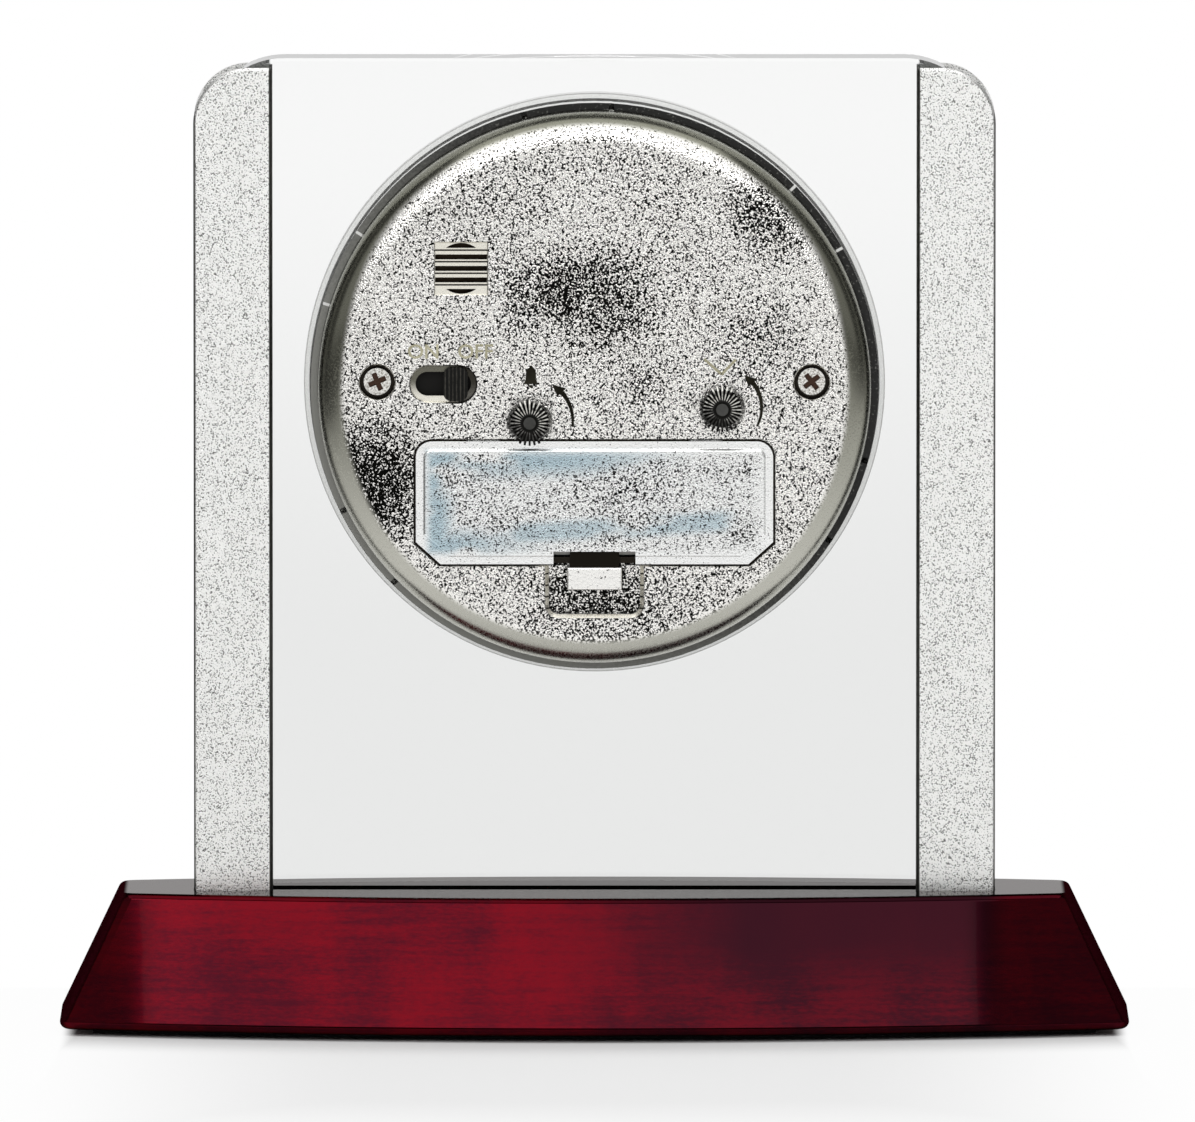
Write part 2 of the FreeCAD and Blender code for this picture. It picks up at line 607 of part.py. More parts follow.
def front_plate():
    """The movement's moulded front plate, with battery tub, bosses and posts."""
    shape = disc(CAVITY_PIECE, PLATE_FRONT, PLATE_BACK)
    tub_back = BACK_INSIDE - BAY_TOP_GAP
    half = BAY_LENGTH / 2
    tub = block(-half - BAY_WALL, half + BAY_WALL, PLATE_BACK, tub_back,
                BAY_BOTTOM - BAY_WALL, BAY_TOP + BAY_WALL)
    tub = tub.cut(block(-half, half, PLATE_BACK, tub_back, BAY_BOTTOM, BAY_TOP))
    additions = [tub]
    holes = [disc(ALARM_PIPE + PIPE_GAP, PLATE_FRONT, PLATE_BACK)]
    boss_back = CASE_BACK - SCREW_WELL_DEPTH - SCREW_BOSS_WALL - SCREW_GAP
    for side in (-1, 1):
        x = side * CASE_SCREW_X
        additions.append(disc(SCREW_SHANK * 2, PLATE_BACK, boss_back, x, CASE_SCREW_Z))
        holes.append(disc(SCREW_SHANK, PLATE_BACK, boss_back, x, CASE_SCREW_Z))
    for x, z in PILLARS:
        additions.append(disc(PILLAR_RADIUS, PLATE_BACK, MIDDLE_FRONT, x, z))
        holes.append(disc(PLATE_SCREW_SHANK, MIDDLE_FRONT - PLATE_SCREW_BITE, MIDDLE_FRONT, x, z))
    additions.append(disc(BOARD_POST_RADIUS, PLATE_BACK, BOARD_FRONT, *BOARD_POST))
    additions.append(disc(STUB_RADIUS, PLATE_BACK, MINUTE_LAYER + WHEEL_THICKNESS, *MINUTE_AT))
    for x, z in (TIME_SHAFT, ALARM_SHAFT):
        holes.append(disc(SHAFT_RADIUS + PIVOT_GAP, PLATE_BACK - BLIND_PIVOT, PLATE_BACK, x, z))
    return shape.fuse(additions).cut(holes)


def movement_plate(front, back):
    """A rounded plate with holes for the plate screws and the two setting shafts."""
    shape = block(PLATE_LEFT, PLATE_RIGHT, front, back, PLATE_BOTTOM, PLATE_TOP, PLATE_CORNER)
    holes = [disc(PLATE_SCREW_SHANK, front, back, x, z) for x, z in PILLARS]
    for x, z in (TIME_SHAFT, ALARM_SHAFT):
        holes.append(disc(SHAFT_RADIUS + PIVOT_GAP, front, back, x, z))
    return shape.cut(holes)


def pivot_holes(front, back, points):
    """Holes for the ends of the train's arbors."""
    return [disc(ARBOR_RADIUS + PIVOT_GAP, front, back, x, z) for x, z in points]


def middle_plate():
    """The plate between the hand-setting wheels and the going train."""
    shape = movement_plate(MIDDLE_FRONT, MIDDLE_BACK)
    shape = shape.fuse([disc(STATOR_SEAT, MIDDLE_BACK, STATOR_FRONT, *PILLARS[0]),
                        disc(SEAT_RADIUS, MIDDLE_BACK, STATOR_FRONT, SEAT_X, SEAT_Z)])
    holes = pivot_holes(MIDDLE_FRONT, MIDDLE_BACK, (THIRD_AT, STEP_AT, ROTOR_AT))
    holes.append(disc(CANNON_PIPE + PIPE_GAP, MIDDLE_FRONT, MIDDLE_BACK))
    holes.append(disc(PILLAR_RADIUS + PIVOT_GAP, MIDDLE_BACK, STATOR_FRONT, *PILLARS[0]))
    return shape.cut(holes)


def rear_plate():
    """The plate behind the going train, with its pillars and the board's seats."""
    shape = movement_plate(REAR_FRONT, REAR_BACK)
    pillars = [ring(PILLAR_RADIUS, PLATE_SCREW_SHANK, MIDDLE_BACK, REAR_FRONT, x, z)
               for x, z in PILLARS]
    seats = [disc(BOARD_SEAT_RADIUS, REAR_BACK, BOARD_FRONT, x, z) for x, z in BOARD_SEATS]
    holes = pivot_holes(REAR_FRONT, REAR_BACK, (THIRD_AT, STEP_AT, ROTOR_AT))
    holes.append(disc(SECONDS_ARBOR + PIVOT_GAP, REAR_FRONT, REAR_BACK))
    return shape.fuse(pillars + seats).cut(holes)


def plate_screws():
    """The four screws through both plates, as one group."""
    screws = []
    for x, z in PILLARS:
        shank = disc(PLATE_SCREW_SHANK, MIDDLE_FRONT - PLATE_SCREW_BITE, REAR_BACK, x, z)
        head = disc(PLATE_SCREW_HEAD, REAR_BACK, REAR_BACK + PLATE_SCREW_HEAD_HEIGHT, x, z)
        screws.append(shank.fuse(head))
    return Part.makeCompound(screws)


# ---------------------------------------------------------------- case back
def door_outline(grow):
    """The door's (x, z) corners and radii, grown all round by a clearance."""
    half = DOOR_LENGTH / 2 + grow
    bottom = DOOR_BOTTOM - grow
    top = DOOR_TOP + grow
    clip_x = DOOR_CLIPPED_X
    clip_z = DOOR_CLIPPED_Z
    corners = ((-half + clip_x, bottom), (half - clip_x, bottom), (half, bottom + clip_z),
               (half, top), (-half, top), (-half, bottom + clip_z))
    corner = DOOR_TOP_CORNER + grow
    return corners, (0, 0, 0, corner, corner, 0)


def case_screw_wells():
    """Bosses and stepped holes of the two case screws."""
    bosses = []
    holes = []
    floor = CASE_BACK - SCREW_WELL_DEPTH
    for side in (-1, 1):
        x = side * CASE_SCREW_X
        bosses.append(disc(SCREW_WELL + SCREW_BOSS_WALL, floor - SCREW_BOSS_WALL, BACK_INSIDE,
                           x, CASE_SCREW_Z))
        holes.append(disc(SCREW_WELL, floor, CASE_BACK, x, CASE_SCREW_Z))
        holes.append(disc(SCREW_SHANK + SCREW_GAP, floor - SCREW_BOSS_WALL, floor, x, CASE_SCREW_Z))
    return bosses, holes


def grille_openings():
    """The openings between the bars: straight slots, and a segment at top and bottom."""
    floor = CASE_BACK - GRILLE_RECESS
    half = GRILLE_SQUARE / 2
    slot = (2 * GRILLE_HOLE - GRILLE_BARS * GRILLE_BAR) / (GRILLE_BARS + 1)
    first_bar = GRILLE_Z - GRILLE_HOLE + slot
    last_bar = GRILLE_Z + GRILLE_HOLE - slot
    openings = [disc(GRILLE_HOLE, BACK_INSIDE, floor, GRILLE_X, GRILLE_Z).cut(
        block(GRILLE_X - half, GRILLE_X + half, BACK_INSIDE, floor, first_bar, last_bar))]
    for rank in range(1, GRILLE_BARS):
        top = first_bar + rank * (slot + GRILLE_BAR)
        openings.append(block(GRILLE_X - half, GRILLE_X + half, BACK_INSIDE, floor, top - slot, top))
    return openings


def opening_edges(shape):
    """The edges around the openings in the case back's flat outer face."""
    flat = CASE_RADIUS - CASE_ROUND
    return [edge for edge in shape.Edges
            if edge.BoundBox.YMin > CASE_BACK - 1e-6 and edge.BoundBox.XMax < flat - RECESS_RIM]


def bevelled_openings(back):
    """The case back with a wide bevel around the pocket's mouth and a fine one elsewhere."""
    mouth = [edge for edge in opening_edges(back) if edge.BoundBox.ZMin < DOOR_SEAT_BOTTOM - POCKET_RIM]
    back = back.makeChamfer(POCKET_RIM, mouth)
    rims = [edge for edge in opening_edges(back) if edge.BoundBox.ZMin > DOOR_SEAT_BOTTOM - POCKET_RIM]
    return back.makeChamfer(RECESS_RIM, rims)


def latch_ledges():
    """The pocket's two ledges, beside the finger tab."""
    ledges = []
    for side in (-1, 1):
        left, right = sorted((side * LEDGE_X, side * (POCKET_WIDTH + POCKET_WALL) / 2))
        ledges.append(block(left, right, POCKET_FLOOR, CASE_BACK - LEDGE_DEPTH,
                            DOOR_SEAT_BOTTOM - LEDGE_HEIGHT, DOOR_SEAT_BOTTOM))
    return ledges


def case_back():
    """The plated cup: door seat, latch pocket, grille, switch slot, shaft holes, screw wells."""
    inside = CASE_RADIUS - CASE_WALL
    bevel = CASE_ROUND - CASE_WALL
    cup = turned(((CASE_RADIUS, GLASS_FRONT), (CASE_RADIUS, CASE_BACK), (0, CASE_BACK),
                  (0, BACK_INSIDE), (inside - bevel, BACK_INSIDE), (inside, BACK_INSIDE - bevel),
                  (inside, GLASS_FRONT)),
                 (0, CASE_ROUND, 0, 0, 0, 0, 0))
    bosses, holes = case_screw_wells()
    half_pocket = POCKET_WIDTH / 2
    pocket_bottom = DOOR_BOTTOM - POCKET_HEIGHT
    bosses.append(block(-half_pocket - POCKET_WALL, half_pocket + POCKET_WALL,
                        POCKET_FLOOR - POCKET_WALL, BACK_INSIDE, pocket_bottom - POCKET_WALL,
                        DOOR_BOTTOM + POCKET_WALL, POCKET_CORNER))
    bosses.append(ring(BUZZER_RADIUS + BUZZER_SEAT_WALL, BUZZER_RADIUS - BUZZER_SEAT_WALL,
                       BACK_INSIDE - BUZZER_SEAT, BACK_INSIDE, GRILLE_X, GRILLE_Z))
    corners, radii = door_outline(DOOR_GAP)
    holes.append(plate(corners, DOOR_SEAT, CASE_BACK, radii))
    holes.append(block(-BAY_LENGTH / 2, BAY_LENGTH / 2, BACK_INSIDE, DOOR_SEAT, BAY_BOTTOM, BAY_TOP))
    for side in (-1, 1):
        half = HOOK_WIDTH / 2 + DOOR_GAP
        holes.append(block(side * HOOK_X - half, side * HOOK_X + half, BACK_INSIDE, DOOR_SEAT,
                           BAY_TOP, DOOR_TOP + DOOR_GAP))
    corners = ((-half_pocket, pocket_bottom), (half_pocket, pocket_bottom),
               (half_pocket, DOOR_BOTTOM), (-half_pocket, DOOR_BOTTOM))
    holes.append(plate(corners, POCKET_FLOOR, CASE_BACK, (POCKET_CORNER, POCKET_CORNER, 0, 0)))
    stem_front = DOOR_SEAT - LATCH_STEM_THICKNESS - DOOR_SEAT_GAP - LATCH_TRAVEL_GAP
    holes.append(block(-LATCH_NOTCH_WIDTH / 2, LATCH_NOTCH_WIDTH / 2, stem_front, CASE_BACK,
                       DOOR_BOTTOM - POCKET_CORNER, BAY_BOTTOM))
    grille_floor = CASE_BACK - GRILLE_RECESS
    half_grille = GRILLE_SQUARE / 2
    holes.append(block(GRILLE_X - half_grille, GRILLE_X + half_grille, grille_floor, CASE_BACK,
                       GRILLE_Z - half_grille, GRILLE_Z + half_grille))
    holes.extend(grille_openings())
    holes.append(stadium(SWITCH_RECESS_LENGTH, SWITCH_RECESS_HEIGHT, SLIDER_FLOOR, CASE_BACK,
                         SWITCH_X, SWITCH_Z))
    holes.append(stadium(SWITCH_SLOT_LENGTH, SWITCH_SLOT_HEIGHT, BACK_INSIDE, SLIDER_FLOOR,
                         SWITCH_X, SWITCH_Z))
    for x, z in (TIME_SHAFT, ALARM_SHAFT):
        holes.append(disc(SHAFT_RADIUS + SHAFT_HOLE_GAP, BACK_INSIDE, CASE_BACK, x, z))
    return bevelled_openings(cup.fuse(bosses).cut(holes)).fuse(latch_ledges())


def case_screws():
    """The two screws that join case back and front plate."""
    screws = []
    floor = CASE_BACK - SCREW_WELL_DEPTH
    for side in (-1, 1):
        x = side * CASE_SCREW_X
        head = disc(SCREW_HEAD, floor, floor + SCREW_HEAD_HEIGHT, x, CASE_SCREW_Z)
        screws.append(head.fuse(disc(SCREW_SHANK, floor - SCREW_LENGTH, floor, x, CASE_SCREW_Z)))
    return Part.makeCompound(screws)


def grip_ring():
    """The soft ring that holds the case in the glass, with slots open to the back."""
    inner = CASE_RADIUS + GRIP_GAP
    shape = ring(inner + GRIP_THICKNESS, inner, GLASS_FRONT, GLASS_BACK)
    slots = []
    for pair in range(GRIP_PAIRS):
        for half in (-0.5, 0.5):
            slot = block(inner - GRIP_GAP, inner + 2 * GRIP_THICKNESS, GLASS_BACK - GRIP_SLOT_DEPTH,
                         GLASS_BACK, -GRIP_SLOT / 2, GRIP_SLOT / 2)
            turn = GRIP_PAIR_START + pair * 360 / GRIP_PAIRS + half * GRIP_PAIR_SPREAD
            slot.rotate(ORIGIN, Y_AXIS, turn)
            slots.append(slot)
    return shape.cut(slots)


# ---------------------------------------------------------------- battery door and contacts
def battery_door():
    """The door: clipped plate, raised pillow, hooks along the top and the latch notch."""
    inner = DOOR_SEAT + DOOR_SEAT_GAP
    corners, radii = door_outline(0)
    shape = plate(corners, inner, CASE_BACK, radii)
    corners, radii = door_outline(-PILLOW_INSET)
    pillow = plate(corners, CASE_BACK, CASE_BACK + PILLOW_RISE, radii)
    rim = [edge for edge in pillow.Edges if edge.BoundBox.YMin > CASE_BACK + PILLOW_RISE / 2]
    pillow = pillow.makeFillet(PILLOW_ROUND, rim)
    shape = shape.fuse(pillow)
    hook_back = BACK_INSIDE - DOOR_SEAT_GAP
    hook_front = hook_back - HOOK_THICKNESS
    for side in (-1, 1):
        left = side * HOOK_X - HOOK_WIDTH / 2
        right = side * HOOK_X + HOOK_WIDTH / 2
        bottom = DOOR_TOP - DOOR_SEAT_GAP - HOOK_ROOT
        shape = shape.fuse([block(left, right, hook_front, inner, bottom, bottom + HOOK_ROOT),
                            block(left, right, hook_front, hook_back, bottom, DOOR_TOP + HOOK_REACH)])
    notch = block(-LATCH_NOTCH_WIDTH / 2, LATCH_NOTCH_WIDTH / 2, inner, CASE_BACK + PILLOW_RISE,
                  DOOR_BOTTOM, DOOR_BOTTOM + LATCH_NOTCH_HEIGHT)
    return shape.cut(notch)


def door_latch():
    """The latch: a finger tab below the door on a stem that runs behind it."""
    stem_back = DOOR_SEAT + DOOR_SEAT_GAP - LATCH_TRAVEL_GAP
    stem_front = stem_back - LATCH_STEM_THICKNESS
    tab_top = DOOR_BOTTOM - LATCH_TOP
    half = LATCH_WIDTH / 2
    tab = block(-half, half, stem_front, CASE_BACK + LATCH_PROUD, tab_top - LATCH_HEIGHT, tab_top)
    rim = [edge for edge in tab.Edges if edge.BoundBox.YMin > CASE_BACK]
    tab = tab.makeFillet(LATCH_PROUD, rim)
    half = LATCH_STEM_WIDTH / 2
    stem = block(-half, half, stem_front, stem_back, tab_top, DOOR_BOTTOM + LATCH_STEM_REACH)
    return tab.fuse(stem)


def plate_contact():
    """The flat contact on the bay's end wall."""
    end = BAY_LENGTH / 2
    middle = (BAY_TOP + BAY_BOTTOM) / 2
    return block(end - CONTACT_THICKNESS, end, PLATE_BACK, PLATE_BACK + CONTACT_DEPTH,
                 middle - CONTACT_HEIGHT / 2, middle + CONTACT_HEIGHT / 2)


def spring_contact():
    """The sprung contact on the other end wall: a leaf folded out in a shallow bow."""
    wall = -BAY_LENGTH / 2
    front = PLATE_BACK
    middle = front + CONTACT_DEPTH / 2
    back = front + CONTACT_DEPTH
    crest = wall + LEAF_BULGE
    bow = Part.Arc(FreeCAD.Vector(wall + CONTACT_THICKNESS, front, 0), FreeCAD.Vector(crest, middle, 0),
                   FreeCAD.Vector(wall + CONTACT_THICKNESS, back, 0)).toShape()
    inner = Part.Arc(FreeCAD.Vector(wall, back, 0),
                     FreeCAD.Vector(crest - CONTACT_THICKNESS, middle, 0),
                     FreeCAD.Vector(wall, front, 0)).toShape()
    section = Part.Wire([bow, Part.makeLine(bow.Vertexes[-1].Point, inner.Vertexes[0].Point),
                         inner, Part.makeLine(inner.Vertexes[-1].Point, bow.Vertexes[0].Point)])
    leaf = Part.Face(section).extrude(FreeCAD.Vector(0, 0, CONTACT_HEIGHT))
    leaf.translate(FreeCAD.Vector(0, 0, (BAY_TOP + BAY_BOTTOM - CONTACT_HEIGHT) / 2))
    return leaf


# ---------------------------------------------------------------- electronics
def stator():
    """The flat iron yoke: a bar round the rotor and two arms up to the coil."""
    left_arm = STATOR_LEFT + STATOR_LEFT_ARM
    right_arm = STATOR_RIGHT - STATOR_RIGHT_ARM
    bar_top = STATOR_BOTTOM + STATOR_BAR
    corners = ((STATOR_LEFT, STATOR_BOTTOM), (right_arm, STATOR_BOTTOM),
               (right_arm, STATOR_BOTTOM + STATOR_NOTCH), (STATOR_RIGHT, STATOR_BOTTOM + STATOR_NOTCH),
               (STATOR_RIGHT, STATOR_TOP), (right_arm, STATOR_TOP), (right_arm, bar_top),
               (left_arm, bar_top), (left_arm, STATOR_TOP), (STATOR_LEFT, STATOR_TOP))
    yoke = plate(corners, STATOR_FRONT, STATOR_BACK)
    return yoke.cut([disc(ROTOR_RADIUS + STATOR_HOLE_GAP, STATOR_FRONT, STATOR_BACK, *ROTOR_AT),
                     disc(PILLAR_RADIUS + PIVOT_GAP, STATOR_FRONT, STATOR_BACK, *PILLARS[0])])


def coil_core():
    """The iron strip that joins the stator's arms through the coil."""
    return block(STATOR_LEFT, STATOR_RIGHT, STATOR_BACK, CORE_BACK, CORE_TOP - CORE_HEIGHT, CORE_TOP)


def sleeve(grow, left, right):
    """A bar round the core's axis, thicker than the core by a share on each side."""
    return block(left, right, STATOR_BACK - grow, CORE_BACK + grow,
                 CORE_TOP - CORE_HEIGHT - grow, CORE_TOP + grow)


def coil_drum(radius, left, right):
    """A drum along X on the core's axis."""
    return Part.makeCylinder(radius, right - left, FreeCAD.Vector(left, CORE_MIDDLE, CORE_AXIS),
                             FreeCAD.Vector(1, 0, 0))


def coil_bobbin():
    """The bobbin: two flanges on a sleeve round the core."""
    left = WINDING_LEFT + BOBBIN_GAP
    right = WINDING_RIGHT - BOBBIN_GAP
    shape = sleeve(SLEEVE_WALL, left, right)
    shape = shape.fuse([coil_drum(BOBBIN_RADIUS, left, left + BOBBIN_FLANGE),
                        coil_drum(BOBBIN_RADIUS, right - BOBBIN_FLANGE, right)])
    return shape.cut(sleeve(0, left, right))


def coil_winding():
    """The copper winding between the bobbin's flanges."""
    left = WINDING_LEFT + BOBBIN_GAP + BOBBIN_FLANGE
    right = WINDING_RIGHT - BOBBIN_GAP - BOBBIN_FLANGE
    return coil_drum(WINDING_RADIUS, left, right).cut(sleeve(SLEEVE_WALL, left, right))


def circuit_board():
    """The board behind the movement."""
    return block(BOARD_LEFT, BOARD_RIGHT, BOARD_FRONT, BOARD_BACK, BOARD_BOTTOM, BOARD_TOP,
                 BOARD_CORNER)


def quartz_can():
    """The quartz crystal's can, lying on the board."""
    x, z = QUARTZ_AT
    start = FreeCAD.Vector(x, BOARD_BACK + QUARTZ_RADIUS, z)
    return Part.makeCylinder(QUARTZ_RADIUS, QUARTZ_LENGTH, start, FreeCAD.Vector(1, 0, 0))


def control_chip():
    """The chip under its dome of resin."""
    ball = (CHIP_RADIUS ** 2 + CHIP_HEIGHT ** 2) / (2 * CHIP_HEIGHT)
    x, z = CHIP_AT
    dome = Part.makeSphere(ball, FreeCAD.Vector(x, BOARD_BACK + CHIP_HEIGHT - ball, z))
    return dome.common(disc(ball, BOARD_BACK, BOARD_BACK + 2 * ball, x, z))


def buzzer_disc():
    """The sounder disc on its ring seat behind the grille."""
    back = BACK_INSIDE - BUZZER_SEAT
    return disc(BUZZER_RADIUS, back - BUZZER_THICKNESS, back, GRILLE_X, GRILLE_Z)


def slider_foot_front():
    """Depth of the front of the switch slider's foot."""
    return BACK_INSIDE - SLIDER_GAP - SLIDER_FOOT_THICKNESS


def switch_body():
    """The switch's body on the board, under the slider."""
    back = slider_foot_front() - WIPER_THICKNESS - SLIDER_GAP
    half = SWITCH_BODY_LENGTH / 2
    half_height = SWITCH_BODY_HEIGHT / 2
    return block(SWITCH_X - half, SWITCH_X + half, BOARD_BACK, back,
                 SWITCH_Z - half_height, SWITCH_Z + half_height)


def switch_slider():
    """The ribbed slider: thumb piece in the recess, stem in the slot, foot inside."""
    front = SLIDER_FLOOR + SLIDER_GAP
    back = front + SLIDER_THICKNESS
    half = SLIDER_WIDTH / 2
    half_height = SLIDER_HEIGHT / 2
    rib_back = back + SLIDER_RIB_HEIGHT
    thumb = block(SLIDER_X - half, SLIDER_X + half, front, rib_back,
                  SWITCH_Z - half_height, SWITCH_Z + half_height, SLIDER_CORNER)
    step = (SLIDER_WIDTH - SLIDER_RIB) / (SLIDER_RIBS - 1)
    grooves = []
    for rank in range(SLIDER_RIBS - 1):
        left = SLIDER_X - half + rank * step + SLIDER_RIB
        grooves.append(block(left, left + step - SLIDER_RIB, back, rib_back,
                             SWITCH_Z - half_height, SWITCH_Z + half_height))
    half_stem = SLIDER_STEM_WIDTH / 2
    half_slot = SWITCH_SLOT_HEIGHT / 2 - SLIDER_GAP
    half_foot = SLIDER_FOOT_HEIGHT / 2
    foot_back = BACK_INSIDE - SLIDER_GAP
    stem = block(SLIDER_X - half_stem, SLIDER_X + half_stem, foot_back, front,
                 SWITCH_Z - half_slot, SWITCH_Z + half_slot, SLIDER_STEM_CORNER)
    foot = block(SLIDER_X - half_stem, SLIDER_X + half_stem, slider_foot_front(), foot_back,
                 SWITCH_Z - half_foot, SWITCH_Z + half_foot)
    return thumb.cut(grooves).fuse([stem, foot])


def switch_wiper():
    """The contact strip under the slider's foot."""
    back = slider_foot_front()
    half = SLIDER_STEM_WIDTH / 2
    return block(SLIDER_X - half, SLIDER_X + half, back - WIPER_THICKNESS, back,
                 SWITCH_Z - SWITCH_BODY_HEIGHT / 2, SWITCH_Z + SWITCH_BODY_HEIGHT / 2)


# ---------------------------------------------------------------- hand setting
ALARM_PHASE = 0.0
CANNON_PHASE = 0.0
MINUTE_PHASE = meshed(CANNON_TEETH, CANNON_PHASE, MINUTE_WHEEL_TEETH, direction(CENTRE, MINUTE_AT))
SETTING_PHASE = meshed(MINUTE_WHEEL_TEETH, MINUTE_PHASE, SETTING_PINION_TEETH,
                       direction(MINUTE_AT, TIME_SHAFT))
HOUR_PHASE = meshed(MINUTE_PINION_TEETH, 0.0, HOUR_WHEEL_TEETH, direction(MINUTE_AT, CENTRE))
HOUR_MODULE = module_for(CENTRE, MINUTE_AT, HOUR_WHEEL_TEETH, MINUTE_PINION_TEETH)
ALARM_MODULE = module_for(CENTRE, ALARM_SHAFT, ALARM_WHEEL_TEETH, ALARM_PINION_TEETH)
ALARM_PINION_PHASE = meshed(ALARM_WHEEL_TEETH, ALARM_PHASE, ALARM_PINION_TEETH,
                            direction(CENTRE, ALARM_SHAFT))


def piped_wheel(wheel, pipe_outer, pipe_inner, pipe_front, pipe_back):
    """A wheel on a pipe that carries a hand."""
    return wheel.fuse(disc(pipe_outer, pipe_front, pipe_back)).cut(
        disc(pipe_inner, pipe_front, pipe_back))


def alarm_wheel():
    """The wheel and outer pipe of the alarm hand."""
    back = ALARM_LAYER + WHEEL_THICKNESS
    wheel = gear(ALARM_WHEEL_TEETH, ALARM_MODULE, ALARM_LAYER, back, ALARM_PHASE)
    return piped_wheel(wheel, ALARM_PIPE, HOUR_PIPE + PIPE_GAP, ALARM_HAND_BACK - HAND_THICKNESS, back)


def hour_wheel():
    """The wheel and pipe of the hour hand."""
    back = HOUR_LAYER + WHEEL_THICKNESS
    wheel = gear(HOUR_WHEEL_TEETH, HOUR_MODULE, HOUR_LAYER, back, HOUR_PHASE)
    return piped_wheel(wheel, HOUR_PIPE, CANNON_PIPE + PIPE_GAP, HOUR_HAND_BACK - HAND_THICKNESS, back)


def cannon_pinion():
    """The pinion and inner pipe of the minute hand."""
    back = MINUTE_LAYER + WHEEL_THICKNESS
    wheel = gear(CANNON_TEETH, MOTION_MODULE, MINUTE_LAYER, back, CANNON_PHASE)
    return piped_wheel(wheel, CANNON_PIPE, SECONDS_ARBOR + PIPE_GAP,
                       MINUTE_HAND_BACK - HAND_THICKNESS, back)


def minute_wheel():
    """The wheel between cannon pinion and setting pinion, with the hour wheel's pinion."""
    back = MINUTE_LAYER + WHEEL_THICKNESS
    wheel = gear(MINUTE_WHEEL_TEETH, MOTION_MODULE, MINUTE_LAYER, back, MINUTE_PHASE, MINUTE_AT)
    leaves = gear(MINUTE_PINION_TEETH, HOUR_MODULE, HOUR_LAYER - PINION_OVERLAP, MINUTE_LAYER,
                  0.0, MINUTE_AT)
    bore = disc(STUB_RADIUS + PIVOT_GAP, HOUR_LAYER - PINION_OVERLAP, back, *MINUTE_AT)
    return wheel.fuse(leaves).cut(bore)


def setting_shaft(at, leaves):
    """A shaft from the front plate to its knob, with its pinion."""
    shaft = disc(SHAFT_RADIUS, PLATE_BACK - BLIND_PIVOT + PIVOT_GAP, KNOB_BACK - KNOB_END_RECESS, *at)
    return shaft.fuse(leaves)


def time_set_shaft():
    """The shaft that turns the hour and minute hands."""
    leaves = pinion(SETTING_PINION_TEETH, MOTION_MODULE, MINUTE_LAYER, WHEEL_THICKNESS,
                    SETTING_PHASE, TIME_SHAFT)
    return setting_shaft(TIME_SHAFT, leaves)


def alarm_set_shaft():
    """The shaft that turns the alarm hand."""
    leaves = pinion(ALARM_PINION_TEETH, ALARM_MODULE, ALARM_LAYER, WHEEL_THICKNESS,
                    ALARM_PINION_PHASE, ALARM_SHAFT)
    return setting_shaft(ALARM_SHAFT, leaves)


def finned_knob(at):
    """A knob with radial fins standing on a disc round its boss."""
    boss = SHAFT_RADIUS + KNOB_BOSS_WALL
    fin_top = KNOB_BACK - KNOB_END_RECESS
    foot = KNOB_FRONT + KNOB_FOOT
    core = turned(((SHAFT_RADIUS, KNOB_FRONT), (KNOB_CORE, KNOB_FRONT), (KNOB_CORE, foot),
                   (boss, foot), (boss, KNOB_BACK), (SHAFT_RADIUS, KNOB_BACK)))
    fins = []
    for rank in range(KNOB_FINS):
        section = ((boss - KNOB_END_RECESS, KNOB_FRONT), (KNOB_RADIUS, KNOB_FRONT),
                   (KNOB_RADIUS, fin_top - KNOB_FOOT), (KNOB_RADIUS - KNOB_FOOT, fin_top),
                   (boss - KNOB_END_RECESS, fin_top))
        points = [FreeCAD.Vector(radius, depth, -KNOB_FIN / 2) for radius, depth in section]
        fin = Part.Face(outline(points)).extrude(FreeCAD.Vector(0, 0, KNOB_FIN))
        fin.rotate(ORIGIN, Y_AXIS, rank * 360 / KNOB_FINS)
        fins.append(fin)
    knob = core.fuse(fins)
    knob.translate(FreeCAD.Vector(at[0], 0, at[1]))
    return knob


# ---------------------------------------------------------------- going train
THIRD_MODULE = module_for(CENTRE, THIRD_AT, CENTRE_WHEEL_TEETH, TRAIN_PINION_TEETH)
SECONDS_MODULE = module_for(CENTRE, THIRD_AT, TRAIN_PINION_TEETH, THIRD_WHEEL_TEETH)
STEP_MODULE = module_for(CENTRE, STEP_AT, SECONDS_WHEEL_TEETH, TRAIN_PINION_TEETH)
THIRD_LINE = direction(CENTRE, THIRD_AT)
STEP_LINE = direction(CENTRE, STEP_AT)
THIRD_PINION_PHASE = meshed(CENTRE_WHEEL_TEETH, 0.0, TRAIN_PINION_TEETH, THIRD_LINE)
THIRD_WHEEL_PHASE = meshed(TRAIN_PINION_TEETH, 0.0, THIRD_WHEEL_TEETH, THIRD_LINE)
STEP_PINION_PHASE = meshed(SECONDS_WHEEL_TEETH, 0.0, TRAIN_PINION_TEETH, STEP_LINE)
ROTOR_PHASE = meshed(STEP_WHEEL_TEETH, 0.0, TRAIN_PINION_TEETH, direction(STEP_AT, ROTOR_AT))


def train_wheel(teeth, module, layer, phase, at):
    """A thin wheel of the going train."""
    return gear(teeth, module, layer, layer + TRAIN_WHEEL_THICKNESS, phase, at)


def train_pinion(module, layer, phase, at):
    """The small pinion that mates with the wheel of a layer."""
    return pinion(TRAIN_PINION_TEETH, module, layer, TRAIN_WHEEL_THICKNESS, phase, at)


def arbor(at):
    """An arbor between the middle and rear plates, with both ends in their holes."""
    return disc(ARBOR_RADIUS, MIDDLE_FRONT, REAR_BACK, *at)


